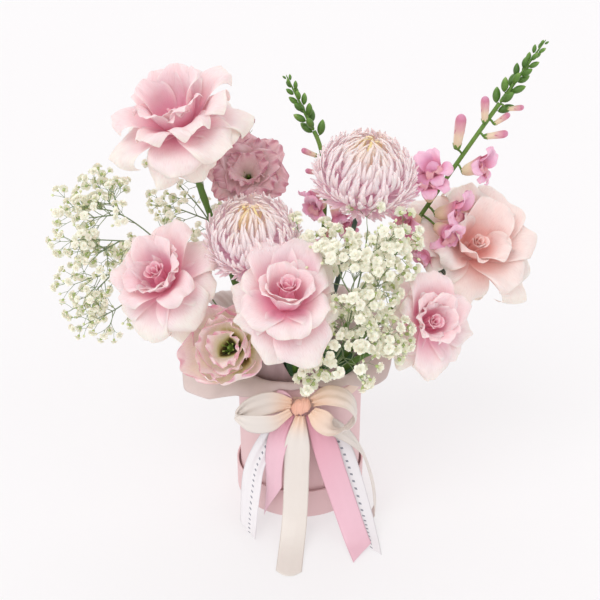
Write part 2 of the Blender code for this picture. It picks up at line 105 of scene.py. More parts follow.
class Mesh:
    """Collects grids and patches, with a tone and a texture place for each point."""

    def __init__(self):
        self.points, self.faces, self.tones, self.places = [], [], [], []
        self.count = 0

    def add(self, points, faces, tone, place):
        points = np.asarray(points, float).reshape(-1, 3)
        self.points.append(points)
        self.tones.append(np.broadcast_to(np.asarray(tone, float).reshape(-1), len(points)))
        self.places.append(np.asarray(place, float).reshape(-1, 2))
        self.faces.extend([[k + self.count for k in face] for face in faces])
        self.count += len(points)

    def grid(self, points, tone, wrap=False):
        """points is (rows, columns, 3); wrap joins the last column to the first."""
        rows, columns = points.shape[:2]
        v, u = np.meshgrid(np.linspace(0, 1, rows), np.linspace(0, 1, columns), indexing="ij")
        faces = []
        last = columns if wrap else columns - 1
        for j in range(rows - 1):
            for i in range(last):
                k = (i + 1) % columns
                faces.append((j * columns + i, j * columns + k, (j + 1) * columns + k,
                              (j + 1) * columns + i))
        self.add(points, faces, tone, np.stack([u, v], -1))

    def rod(self, path, radii, tone, sides=8):
        """A round rod along path, closed at both ends."""
        path = np.asarray(path, float)
        radii = np.broadcast_to(np.asarray(radii, float), len(path))
        ahead = np.gradient(path, axis=0)
        ahead /= np.linalg.norm(ahead, axis=1)[:, None]
        side = unit(np.cross(ahead[0], (0.31, 0.87, 0.38)))
        turn = np.linspace(0, 2 * math.pi, sides, endpoint=False)
        rings = []
        for k, point in enumerate(path):
            side = unit(side - ahead[k] * side.dot(ahead[k]))
            other = np.cross(ahead[k], side)
            ring = np.outer(np.cos(turn), side) + np.outer(np.sin(turn), other)
            rings.append(point + ring * radii[k])
        start = self.count
        self.grid(np.array(rings), np.repeat(np.broadcast_to(tone, len(path)), sides), wrap=True)
        self.faces.append([start + i for i in reversed(range(sides))])
        end = start + (len(path) - 1) * sides
        self.faces.append([end + i for i in range(sides)])

    def make(self, name, material, thickness=0.0, subdivide=0):
        mesh = bpy.data.meshes.new(name)
        mesh.from_pydata(np.vstack(self.points).tolist(), [], self.faces)
        tones = mesh.attributes.new("tone", "FLOAT", "POINT")
        tones.data.foreach_set("value", np.concatenate(self.tones).astype(np.float32))
        uv = mesh.uv_layers.new(name="UVMap")
        places = np.vstack(self.places)
        corner = np.empty(len(mesh.loops), np.int32)
        mesh.loops.foreach_get("vertex_index", corner)
        uv.data.foreach_set("uv", places[corner].astype(np.float32).ravel())
        mesh.shade_smooth()
        mesh.materials.append(material)
        obj = bpy.data.objects.new(name, mesh)
        bpy.context.scene.collection.objects.link(obj)
        if thickness:
            shell = obj.modifiers.new("thickness", "SOLIDIFY")
            shell.thickness = thickness
            shell.offset = 0.0
        if subdivide:
            fine = obj.modifiers.new("subdivide", "SUBSURF")
            fine.levels = fine.render_levels = subdivide
        return obj

    def piece(self, name, material, thickness, subdivide, body, slot, *nodes):
        return place_piece(self.make(name, material, thickness, subdivide), body, slot, *nodes)


def place_piece(obj, body, slot, *nodes):
    """Hangs a piece on the body it rides on, and hides the nodes that it stands for; its slot is not
    used.
    """
    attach(obj, body)
    if nodes:
        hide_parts(*nodes)
    return obj


# ---- materials

class Look:
    """A node material built up from its Principled shader."""

    def __init__(self, name, roughness, **settings):
        self.material = bpy.data.materials.new(name)
        self.material.use_nodes = True
        self.tree = self.material.node_tree
        self.shader = self.tree.nodes["Principled BSDF"]
        for socket, value in dict(settings, Roughness=roughness).items():
            self.shader.inputs[socket.replace("_", " ")].default_value = value

    def node(self, kind, **values):
        new = self.tree.nodes.new(kind)
        for key, value in values.items():
            if key in new.inputs:
                new.inputs[key].default_value = value
            else:
                setattr(new, key, value)
        return new

    def link(self, a, b):
        self.tree.links.new(a, b)

    def tone(self):
        return self.node("ShaderNodeAttribute", attribute_name="tone").outputs["Fac"]

    def ramp(self, value, stops):
        """Colour by value; stops are (place, (r, g, b)) in display colours."""
        ramp = self.node("ShaderNodeValToRGB")
        elements = ramp.color_ramp.elements
        while len(elements) < len(stops):
            elements.new(0.5)
        for element, (place, colour) in zip(elements, stops):
            element.position = place
            element.color = (*[linear(c) for c in colour], 1.0)
        self.link(value, ramp.inputs["Fac"])
        return ramp.outputs["Color"]

    def noise(self, scale, detail=3.0, coords=None, stretch=None):
        texture = self.node("ShaderNodeTexNoise")
        texture.inputs["Scale"].default_value = scale
        texture.inputs["Detail"].default_value = detail
        source = coords or self.node("ShaderNodeTexCoord").outputs["Object"]
        if stretch:
            mapping = self.node("ShaderNodeMapping")
            mapping.inputs["Scale"].default_value = stretch
            self.link(source, mapping.inputs["Vector"])
            source = mapping.outputs["Vector"]
        self.link(source, texture.inputs["Vector"])
        return texture.outputs["Fac"]

    def uv(self):
        return self.node("ShaderNodeUVMap", uv_map="UVMap").outputs["UV"]

    def maths(self, operation, a, b, clamp=False):
        node = self.node("ShaderNodeMath", operation=operation)
        node.use_clamp = clamp
        for socket, value in zip(node.inputs, (a, b)):
            if isinstance(value, (int, float)):
                socket.default_value = value
            else:
                self.link(value, socket)
        return node.outputs["Value"]

    def mix(self, amount, a, b, blend="MIX"):
        node = self.node("ShaderNodeMix", data_type="RGBA", blend_type=blend)
        for key, value in ((0, amount), (6, a), (7, b)):
            if isinstance(value, (int, float)):
                node.inputs[key].default_value = value
            elif isinstance(value, tuple):
                node.inputs[key].default_value = (*[linear(c) for c in value], 1.0)
            else:
                self.link(value, node.inputs[key])
        return node.outputs[2]

    def bump(self, height, strength, distance=0.0005):
        node = self.node("ShaderNodeBump")
        node.inputs["Strength"].default_value = strength
        node.inputs["Distance"].default_value = distance
        self.link(height, node.inputs["Height"])
        self.link(node.outputs["Normal"], self.shader.inputs["Normal"])

    def painted_glow(self, output, strength):
        """Painted light: a little glow of the surface's own colour that brightens its shade, standing for
        the light that thin petals and pale paper scatter.
        """
        self.link(output, self.shader.inputs["Emission Color"])
        self.shader.inputs["Emission Strength"].default_value = strength

    def blotched_tone(self, patch, amount):
        """The mesh's tone, made lighter and darker by a noise."""
        uneven = self.maths("MULTIPLY", self.maths("SUBTRACT", patch, 0.5), amount)
        return self.maths("ADD", self.tone(), uneven, clamp=True)

    def colour(self, output):
        self.link(output, self.shader.inputs["Base Color"])
        return self.material


def linear(c):
    return c / 12.92 if c <= 0.04045 else ((c + 0.055) / 1.055) ** 2.4


PETALS = {
    # colours from a petal's base to its tip, and what differs from petal_look's usual values; lift is the
    # strength of a painted glow that brightens the petals' shade
    "rose_petals": ([(0.0, (0.88, 0.50, 0.61)), (0.25, (0.92, 0.66, 0.73)), (0.52, (0.94, 0.79, 0.81)),
                     (0.78, (0.95, 0.865, 0.86)), (1.0, (0.955, 0.92, 0.87))],
                    dict(through=0.35, lift=0.085)),
    "blush_rose_petals": ([(0.0, (0.93, 0.63, 0.60)), (0.25, (0.96, 0.76, 0.73)),
                           (0.52, (0.97, 0.845, 0.82)), (0.78, (0.975, 0.90, 0.87)),
                           (1.0, (0.97, 0.935, 0.88))], dict(through=0.35, lift=0.03)),
    "mum_petals": ([(0.0, (0.98, 0.87, 0.60)), (0.10, (0.98, 0.86, 0.77)), (0.22, (0.975, 0.91, 0.90)),
                    (0.45, (0.965, 0.875, 0.895)), (0.72, (0.96, 0.80, 0.86)),
                    (1.0, (0.93, 0.69, 0.77))], dict(vein=0.10, blotch=0.03, through=0.4, lift=0.09)),
    "lisianthus_mauve_petals": ([(0.0, (0.20, 0.18, 0.11)), (0.12, (0.60, 0.54, 0.40)),
                                 (0.25, (0.94, 0.89, 0.84)), (0.50, (0.92, 0.81, 0.80)),
                                 (0.78, (0.88, 0.69, 0.73)), (1.0, (0.72, 0.46, 0.53))],
                                dict(vein=0.6, blotch=0.20, lift=0.05)),
    "lisianthus_cream_petals": ([(0.0, (0.10, 0.08, 0.06)), (0.15, (0.38, 0.34, 0.17)),
                                 (0.30, (0.82, 0.77, 0.54)), (0.46, (0.93, 0.89, 0.81)),
                                 (0.72, (0.93, 0.84, 0.84)), (1.0, (0.84, 0.57, 0.65))],
                                dict(blotch=0.24, lift=0.13)),
    "snapdragon_petals": ([(0.0, (0.90, 0.86, 0.66)), (0.22, (0.95, 0.83, 0.72)),
                           (0.42, (0.90, 0.66, 0.68)), (0.62, (0.84, 0.50, 0.60)),
                           (0.85, (0.91, 0.64, 0.77)), (1.0, (0.95, 0.75, 0.84))],
                          dict(blotch=0.10, lift=0.05)),
    "spray_flowers": ([(0.0, (0.62, 0.70, 0.42)), (0.25, (0.83, 0.86, 0.68)), (0.5, (0.93, 0.925, 0.83)),
                       (1.0, (0.965, 0.955, 0.90))], dict(vein=0.0, blotch=0.06, through=0.2, lift=0.10)),
}
GREENS = {
    "stem_green": [(0.0, (0.22, 0.36, 0.12)), (0.5, (0.33, 0.48, 0.18)), (1.0, (0.47, 0.60, 0.30))],
    "stem_dark_green": [(0.0, (0.12, 0.20, 0.17)), (0.5, (0.25, 0.35, 0.30)), (1.0, (0.38, 0.46, 0.36))],
    "bud_green": [(0.0, (0.24, 0.40, 0.13)), (0.5, (0.38, 0.54, 0.20)), (1.0, (0.62, 0.72, 0.40))],
    "leaf_green": [(0.0, (0.07, 0.14, 0.11)), (0.5, (0.14, 0.24, 0.17)), (1.0, (0.25, 0.37, 0.22))],
    "spray_green": [(0.0, (0.38, 0.44, 0.36)), (0.5, (0.50, 0.57, 0.42)), (1.0, (0.66, 0.71, 0.50))],
}


def petal_look(kind, name=None):
    """Petals: colour by tone with uneven blotches, fine veins along their length, and a faint painted
    glow that brightens their shade.
    """
    stops, differences = PETALS[kind]
    values = dict(dict(vein=0.35, blotch=0.12, through=0.25, lift=0.0), **differences)
    look = Look(name or kind, 0.55, Subsurface_Weight=values["through"],
                Subsurface_Radius=(1.0, 0.45, 0.4), Subsurface_Scale=0.006, Sheen_Weight=0.12,
                Sheen_Roughness=0.4)
    base = look.ramp(look.blotched_tone(look.noise(55.0, 4.0), values["blotch"] * 2), stops)
    lines = look.noise(14.0, 5.0, coords=look.uv(), stretch=(9.0, 0.7, 1.0))
    vein = look.maths("MULTIPLY", look.maths("SUBTRACT", lines, 0.45, True), values["vein"] * 2)
    darker = look.mix(vein, base, (0.80, 0.48, 0.52), "MULTIPLY")
    look.bump(lines, 0.25, 0.0006)
    # painted light: the petals glow faintly in their own colour, by lift, to brighten their shade
    look.painted_glow(darker, values["lift"])
    return look.colour(darker)


def green_look(kind, roughness=0.45):
    look = Look(kind, roughness, Subsurface_Weight=0.08, Subsurface_Radius=(0.4, 1.0, 0.2),
                Subsurface_Scale=0.003)
    tone = look.blotched_tone(look.noise(120.0, 4.0, stretch=(1.0, 1.0, 0.25)), 0.5)
    look.bump(look.noise(900.0, 2.0, stretch=(1.0, 1.0, 0.2)), 0.2, 0.0003)
    return look.colour(look.ramp(tone, GREENS[kind]))


# ---- petals

def petal(length, width, lean, wrap, roll=0.0, side_roll=0.0, ruffle=0.0, waves=3.0, phase=0.0,
          corner=0.35, base_width=0.3, widest=0.62, rows=14, columns=13):
    """One petal in its own frame: x across, y outwards from the flower's axis, z along the axis.

    lean: list of angles from the axis along its length; wrap: radius it is curved to across;
    roll: how far its top turns out; side_roll: how far its two corners turn back, which leaves a
    point in the middle; corner: how much shorter it is at its sides.
    """
    v = np.linspace(0, 1, rows)[:, None]
    u = np.linspace(-1, 1, columns)[None, :]
    outline = base_width + (1 - base_width) * np.sin(np.clip(v / widest, 0, 1) * math.pi / 2)
    outline = outline * (1 - 0.38 * smooth(v, widest, 1.05) ** 1.5)
    half = width * 0.5 * outline
    knots = np.linspace(0, 1, len(lean))
    angle = np.interp(v[:, 0], knots, lean)[:, None] + 0 * u
    angle = angle + roll * smooth(v, 0.62, 1.0)
    angle = angle + side_roll * smooth(v, 0.45, 1.0) * np.abs(u) ** 1.7
    reach = length * (1 - corner * np.abs(u) ** 2.6)
    step = reach / (rows - 1)
    out = np.cumsum(np.sin(angle) * step, axis=0) - np.sin(angle[:1]) * step
    rise = np.cumsum(np.cos(angle) * step, axis=0) - np.cos(angle[:1]) * step
    bend = np.clip(half / wrap, -1.45, 1.45)
    bend = np.where(np.abs(bend) < 1e-4, 1e-4, bend)
    across = half * np.sin(u * bend) / bend
    inward = half * (1 - np.cos(u * bend)) / bend
    wave = ruffle * smooth(v, 0.35, 1.0) * (np.sin(waves * u * math.pi + phase)
                                            + 0.5 * np.sin(waves * 1.9 * u * math.pi + 2.3 * phase))
    inward = inward + wave - side_roll * 0.12 * width * smooth(v, 0.3, 0.9) * np.abs(u) ** 3
    x = across + 0 * v
    y = out - inward * np.cos(angle)
    z = rise + inward * np.sin(angle)
    return np.stack([x, y, z], -1), v + 0 * u, u + 0 * v


def set_petal(mesh, base, frame_rows, turn, start_radius, start_height, shape, tone):
    """Turns a petal round the flower's axis and adds it to the mesh."""
    points = shape[0]
    c, s = math.cos(turn), math.sin(turn)
    x = points[..., 0] * c - (points[..., 1] + start_radius) * s
    y = points[..., 0] * s + (points[..., 1] + start_radius) * c
    local = np.stack([x, y, points[..., 2] + start_height], -1)
    mesh.grid(base + local @ frame_rows, np.clip(tone, 0, 1))


def sepals(mesh, base, axes, start, size, lean, wrap, taper, dark, **form):
    """Five narrow green sepals that taper to a point; start is (radius, height)."""
    for k in range(5):
        points, v, u = petal(*size, lean, wrap, corner=0.0, widest=0.2, columns=5, **form)
        points[..., 0] *= (1 - v) ** taper
        set_petal(mesh, base, axes, k * 2 * math.pi / 5, *start, (points, v, u), dark + 0.4 * v)


ROSE_STYLES = {
    # lean from base to tip in degrees, wrap, roll, side roll, start radius, tones at base and tip,
    # and how far it follows the tilt of the flower's middle
    "cup": ((52, 30, 10, 14), 0.48, 0.55, 0.35, 0.10, 0.02, 0.60, 0.85),
    "open": ((72, 55, 46, 58), 0.66, 0.75, 0.65, 0.09, 0.06, 0.74, 0.5),
    "flat": ((84, 88, 94, 112), 1.2, 0.55, 0.95, 0.07, 0.20, 0.90, 0.15),
    "drop": ((98, 120, 138, 150), 1.1, 0.35, 0.80, 0.05, 0.42, 1.0, 0.0),
}
ROSES = {
    # heart and tall: width and height of the wound middle; petals: style, turn in degrees
    # anticlockwise from the top, length and width as shares of the radius
    1: dict(centre=(-130, -30, 481), facing=(-0.18, -0.38, 0.91), radius=51, height=62,
            heart=0.20, tall=0.45, tilt=(-0.1, 0.1),
            petals="""flat 106 1.50 1.10|drop 150 1.25 0.85|flat 178 1.15 1.15|flat 234 1.25 1.10
            flat 282 1.45 1.05|drop 200 1.10 1.10|drop 232 1.00 0.9|flat 255 1.20 0.9|open 88 1.35 0.85
            flat 62 1.40 0.95|open 32 1.45 1.05|open -8 1.42 1.15|open -50 1.45 1.05
            open -92 1.30 0.75|open 150 1.05 0.8|open 212 1.05 0.9|cup 128 1.05 0.75
            cup 180 0.85 0.75|cup 228 1.10 0.8|cup 62 1.15 0.85|cup 18 1.20 0.95|cup -22 1.25 1.0
            cup -68 1.25 0.8|cup 100 0.95 0.6|cup 205 0.75 0.6|flat 320 1.4 1.0"""),
    2: dict(centre=(-154, -70, 314), facing=(-0.35, -0.60, 0.70), radius=51, height=56,
            heart=0.40, tall=0.58, tilt=(0.0, 0.1),
            petals="""drop 185 1.30 0.9|flat 150 1.30 1.10|flat 212 1.20 1.20|flat 105 1.20 1.15
            flat 262 1.05 1.0|flat -50 1.25 1.05|open 80 1.10 0.9|open -20 1.25 1.05|open 30 1.15 0.9
            flat 10 1.2 1.1|cup 110 0.90 0.85|cup 50 0.95 0.7|cup 15 1.15 0.75|cup -30 1.10 0.75
            cup 235 0.85 0.75|cup 170 0.80 0.75|cup -75 0.95 0.8|open 130 1.0 0.8|open 225 1.0 0.9
            cup 200 0.65 0.5|cup 75 0.75 0.5|cup -50 0.85 0.55|cup 140 0.55 0.45
            cup 20 0.65 0.45|cup 265 0.60 0.45"""),
    3: dict(centre=(-15, -120, 310), facing=(-0.02, -0.72, 0.69), radius=50, height=56,
            heart=0.46, tall=0.66, tilt=(0.10, 0.48),
            petals="""flat 74 1.15 1.0|flat 112 1.05 0.95|flat 166 1.22 1.05|flat 208 1.32 1.25
            flat 262 1.05 1.0|flat 312 1.35 1.0|open 345 1.35 1.1|open 22 1.38 1.1|drop 184 1.0 1.05
            open 55 1.0 0.95|open 120 0.95 1.0|open 180 0.92 1.05|open 240 0.92 0.95
            open 310 1.0 1.0|cup 20 0.82 0.80|cup 90 0.80 0.85|cup 150 0.80 0.85
            cup 215 0.80 0.85|cup 285 0.80 0.85"""),
    4: dict(centre=(147, -75, 262), facing=(0.30, -0.75, 0.55), radius=45, height=54,
            heart=0.36, tall=0.54, tilt=(0.0, -0.05),
            petals="""drop 160 1.30 0.8|flat 190 1.35 1.05|flat 232 1.20 1.05|flat 270 1.30 1.0
            flat 125 0.95 0.9|flat 80 0.90 1.0|flat 20 1.35 1.2|flat -40 1.25 1.0|open 10 1.25 1.35
            open -60 1.10 0.8|open 60 0.95 0.9|cup 110 0.80 0.7|cup 165 0.75 0.7|cup 230 0.90 0.8
            cup -70 0.90 0.7|cup 30 1.00 0.7|cup -15 1.10 0.7|cup 200 0.65 0.5|cup 70 0.75 0.5
            cup 135 0.55 0.45|cup -55 0.70 0.45|cup 10 0.75 0.5"""),
    5: dict(centre=(208, 12, 321), facing=(0.40, -0.60, 0.70), radius=58, height=58,
            heart=0.32, tall=0.46, tilt=(-0.12, -0.05),
            petals="""drop 205 1.35 0.55|flat 170 1.10 0.95|flat 130 1.05 0.8|flat 85 1.35 1.0
            flat 35 1.55 1.20|flat 0 1.60 1.10|flat -40 1.65 1.15|flat -75 1.60 1.05|flat 245 1.55 1.0
            flat 275 1.60 1.1|drop 250 1.30 1.0|open 225 1.15 1.05|open 20 1.25 1.1|open -30 1.35 1.4
            open -75 1.30 1.1|open 115 0.95 0.7|cup -25 1.05 1.15|cup 60 0.85 0.8|cup 150 0.70 0.7
            cup 240 0.80 0.85"""),
}


def facing_frame(facing, tilt=(0.0, 0.0)):
    """Rows: to the right as seen from the front, up the flower's face, and out of it."""
    z = unit(facing)
    x = unit(np.array((1.0, 0.0, 0.0)) - z * z[0])
    y = np.cross(z, x)
    z = unit(z + x * tilt[0] + y * tilt[1])
    x = unit(x - z * x.dot(z))
    return np.array([x, np.cross(z, x), z])


def rose(number, look):
    """A wound heart of eight petals inside the petals that its table lists."""
    values = ROSES[number]
    rng = np.random.RandomState(100 + number)
    facing = unit(values["facing"])
    base = mm(*values["centre"]) - facing * values["height"] * 0.00042
    size = values["radius"] * 0.001
    mesh = Mesh()
    heart = values["heart"]
    heart_rows = facing_frame(facing, values["tilt"])
    for k in range(HEART_PETALS):
        share = k / (HEART_PETALS - 1)
        jitter = rng.uniform(-1, 1, 4)
        shape = petal(size * (values["tall"] + 0.04 * jitter[2]), size * heart * (0.55 + 0.85 * share),
                      [0.02, 0.06 + 0.14 * share, -0.12 + 0.12 * share],
                      size * heart * (0.13 + 0.28 * share), 0.35 + 0.35 * share, 0.12, size * 0.010,
                      1.2, jitter[0] * 3, 0.16, base_width=0.7, rows=14, columns=15)
        tone = 0.02 + 0.10 * share + 0.42 * smooth(shape[1], 0.70, 1.0) + 0.05 * jitter[1]
        set_petal(mesh, base, heart_rows, GOLDEN * k + 0.4, size * heart * (0.03 + 0.20 * share),
                  size * 0.06, shape, tone)
    for entry in values["petals"].replace("\n", "|").split("|"):
        style, turn, length, width = entry.split()
        lean, wrap, roll, side, start, low, high, follow = ROSE_STYLES[style]
        rows = facing_frame(facing, (values["tilt"][0] * follow, values["tilt"][1] * follow))
        jitter = rng.uniform(-1, 1, 8)
        lean = [math.radians(a + 5 * jitter[0] + 4 * jitter[1] * k) for k, a in enumerate(lean)]
        shape = petal(size * float(length) * 1.06, size * float(width) * 1.06, lean,
                      size * wrap * (1 + 0.15 * jitter[2]), roll * (1 + 0.4 * jitter[3]),
                      side * (1 + 0.25 * jitter[4]), size * 0.042, 1.4 + 0.5 * jitter[5],
                      jitter[6] * 3.0, 0.12, rows=18, columns=19, base_width=0.34, widest=0.70)
        _, v, u = shape
        tone = low + (high - low) * smooth(v, 0.08, 0.92) + 0.16 * smooth(np.abs(u), 0.75, 1.0)
        tone = tone + 0.12 * smooth(v, 0.9, 1.0) + 0.06 * jitter[7]
        set_petal(mesh, base, rows, math.radians(float(turn) + 5 * jitter[1]), size * start,
                  size * 0.03 * jitter[5], shape, tone)
    name = "rose_%d" % number
    mesh.piece(name + "_petals", look, 0.0004, 1, name,
               "petal_blush" if number == 5 else "petal_rose", name + "_bloom")
    return base, facing


def rose_calyx(number, base, facing, look):
    """Green cup with five pointed sepals that hang back along the stem."""
    mesh = Mesh()
    rows = basis(facing, 0.4)
    heights = np.linspace(0.0005, -0.0135, 9)
    profile = np.interp(heights, [-0.0135, -0.010, -0.005, -0.001, 0.0005],
                        [0.0038, 0.0062, 0.0083, 0.0072, 0.0060])
    mesh.grid(base + rings_of(zip(profile, heights), 16) @ rows, 0.5, wrap=True)
    sepals(mesh, base, rows, (0.006, -0.001), (0.026, 0.0065), [1.5, 1.9, 2.5, 2.7], 0.01, 0.7, 0.35,
           ruffle=0.0004, base_width=0.9, rows=10)
    name = "rose_%d" % number
    mesh.piece(name + "_sepals", look, 0.0005, 1, name, "green_stem", name + "_calyx")


# ---- stems

STEM_DEPTH = 0.025
FOAM_TOP = 172
STEMS = {
    # place on the foam's top, lean, radius, gap between the stem's end and the bloom
    "rose_1": ((-42, 18), (-0.38, 0.05, 0.92), 3.8, 14),
    "rose_2": ((-46, -14), (-0.45, -0.12, 0.9), 3.8, 14),
    "rose_3": ((-4, -48), (-0.03, -0.45, 0.9), 3.8, 14),
    "rose_4": ((46, -30), (0.62, -0.25, 0.75), 3.8, 14),
    "rose_5": ((50, 2), (0.58, 0.02, 0.8), 3.8, 14),
    "mum_1": ((-18, -22), (-0.12, -0.40, 0.91), 3.2, 0),
    "mum_2": ((18, -4), (0.20, 0.0, 0.98), 3.2, 0),
    "lisianthus_1": ((-14, 20), (-0.12, 0.05, 0.99), 2.2, 0),
    "lisianthus_2": ((-30, -42), (-0.35, -0.30, 0.88), 2.2, 0),
    "lisianthus_3": ((-28, 38), (-0.08, 0.18, 0.98), 2.2, 0),
    "snapdragon_1": ((38, 30), (0.50, 0.02, 0.86), 2.8, 0),
    "snapdragon_2": ((8, 40), (0.16, 0.12, 0.98), 2.8, 0),
}


def stem_path(name, base, facing, count=30):
    """The same path as the CAD stem: straight in the foam, then a bend to the back of the head."""
    (x, y), lean, _, gap = STEMS[name]
    entry, lean, facing = mm(x, y, FOAM_TOP), unit(lean), unit(facing)
    end = base - facing * (gap * 0.001 + 0.0003)
    reach = np.linalg.norm(end - entry)
    start = entry + lean * 0.006
    neck = end - facing * 0.004
    one, two = start + lean * reach * 0.35, end - facing * reach * 0.22
    t = np.linspace(0, 1, count)[:, None]

    def curve(a, b, c):
        return a * (1 - t) ** 2 + b * 2 * t * (1 - t) + c * t ** 2
    bent = curve(start, one, two) * (1 - t) + curve(one, two, neck) * t
    return np.vstack([entry - lean * STEM_DEPTH, entry, bent, end])


def stem(name, base, facing, look, slot, knots=()):
    """A round stem with slight swellings at its knots."""
    path = stem_path(name, base, facing)
    along = np.linspace(0, 1, len(path))
    radius = STEMS[name][2] * 0.001 * (1.0 - 0.10 * along)
    for knot in knots:
        radius = radius * (1 + 0.28 * np.exp(-((along - knot) / 0.02) ** 2))
    mesh = Mesh()
    mesh.rod(path, radius, 0.45 + 0.1 * np.sin(along * 9), sides=14)
    mesh.piece(name + "_stalk", look, 0.0, 0, name, slot, name + "_stem")
    return path


# ---- chrysanthemums

QUILLS = 540


def quill(points, width, tip_turn):
    """A narrow channelled petal along a curve given as (out, up) points, as petal() returns it."""
    points = np.asarray(points, float)
    t = np.linspace(0, 1, 9)[:, None]
    line = points[0] * (1 - t) ** 2 + points[1] * 2 * t * (1 - t) + points[2] * t ** 2
    slope = np.gradient(line, axis=0)
    slope /= np.linalg.norm(slope, axis=1)[:, None]
    u = np.linspace(-1, 1, 5)[None, :]
    half = width * 0.5 * (0.45 + 0.55 * np.sin(np.clip(t / 0.7, 0, 1) * math.pi / 2))
    half = half * (1 - 0.75 * smooth(t, 0.80, 1.0))
    channel = width * 0.32 * u ** 2 * (1 - 0.4 * t)
    x = u * half * 0.92 + tip_turn * t ** 2
    y = line[:, :1] - channel * slope[:, 1:]
    z = line[:, 1:] + channel * slope[:, :1]
    return np.stack([x, y + 0 * u, z + 0 * u], -1), t + 0 * u, u + 0 * t


def mum(number, centre, facing, radius, height, look, green):
    """Quills set by the golden angle on a dome: wrapped over its top, loose and spread below."""
    name = "mum_%d" % number
    rng = np.random.RandomState(200 + number)
    facing = unit(facing)
    base = mm(*centre) - facing * height * 0.00048
    rows = basis(facing, 0.5)
    mesh = Mesh()
    radius, height = radius * 0.001, height * 0.001
    middle = height * 0.36
    for i in range(QUILLS):
        share = (i + 0.5) / QUILLS
        jitter = rng.uniform(-1, 1, 7)
        polar = 0.05 + 1.98 * share ** 0.56 + 0.09 * jitter[0] * smooth(share, 0.0, 0.1)
        loose = smooth(share, 0.66, 1.0)

        def dome(angle, scale=1.0):
            tall = height * (0.72 if angle < 1.571 else 0.40)
            reach = scale / math.sqrt((math.sin(angle) / (radius * 1.10)) ** 2
                                      + (math.cos(angle) / tall) ** 2)
            return np.array((reach * math.sin(angle), reach * math.cos(angle)))
        back = 0.40 - 0.10 * loose
        ahead = 0.20 * (1 - 1.1 * loose) + 0.13 * jitter[1]
        bulge = 1.04 + 0.07 * jitter[2]
        points = [dome(polar + 0.2, 0.25), dome(polar + back, bulge),
                  dome(max(polar - ahead, 0.02), 1.05 + 0.06 * jitter[3] + 0.06 * loose)]
        width = radius * (0.088 + 0.034 * smooth(share, 0.0, 0.25)) * (1 + 0.15 * jitter[4])
        shape = quill(points, width, width * 1.25 * jitter[5])
        v = shape[1]
        tone = 0.02 + 0.20 * smooth(share, 0.002, 0.035) + 0.10 * smooth(share, 0.05, 0.4)
        foot = 0.42 * (1 - smooth(v, 0.35, 0.85)) * smooth(share, 0.03, 0.2)
        tone = tone + 0.22 * smooth(share, 0.5, 1.0) + foot + 0.07 * jitter[6]
        set_petal(mesh, base, rows, GOLDEN * i, 0.0, middle, shape, tone)
    mesh.piece(name + "_petals", look, 0.00022, 0, name, "petal_mum", name + "_bloom")
    cup = Mesh()
    profile = ((0.0032, 0.0005), (0.008, 0.002), (0.012, 0.006), (0.011, 0.012), (0.006, 0.016))
    cup.grid(base + rings_of(profile, 16) @ rows, 0.5, wrap=True)
    for k in range(16):
        shape = petal(0.014, 0.004, [1.3, 1.0, 0.9], 0.01, base_width=0.9, widest=0.3, corner=0.3,
                      rows=6, columns=5)
        set_petal(cup, base, rows, k * GOLDEN, 0.007, 0.001, shape, 0.5 + 0.2 * shape[1])
    cup.piece(name + "_bracts", green, 0.0004, 0, name, "green_dark")
    stem(name, base, facing, green, "green_dark", (0.3, 0.62, 0.86))


# ---- lisianthus

LISIANTHUS = {
    # rings of petals: count, length, width, lean from base to tip, wrap, start radius, rise, turn
    1: [(5, 1.15, 1.15, [0.10, 0.30, 0.55, 0.90], 0.50, 0.06, 0.10, 0.0),
        (6, 1.40, 1.35, [0.30, 0.60, 0.90, 1.20], 0.75, 0.06, 0.05, 0.6),
        (6, 1.52, 1.45, [0.55, 0.90, 1.20, 1.45], 1.1, 0.06, 0.02, 0.1)],
    2: [(3, 1.05, 1.10, [0.85, 0.45, 0.10, 0.70], 0.55, 0.08, 0.10, 0.9),
        (5, 1.45, 1.45, [1.15, 0.70, 0.20, 0.25], 0.80, 0.08, 0.04, 0.2),
        (5, 1.72, 1.80, [1.50, 1.00, 0.35, 0.05], 1.00, 0.08, 0.00, 0.7)],
}


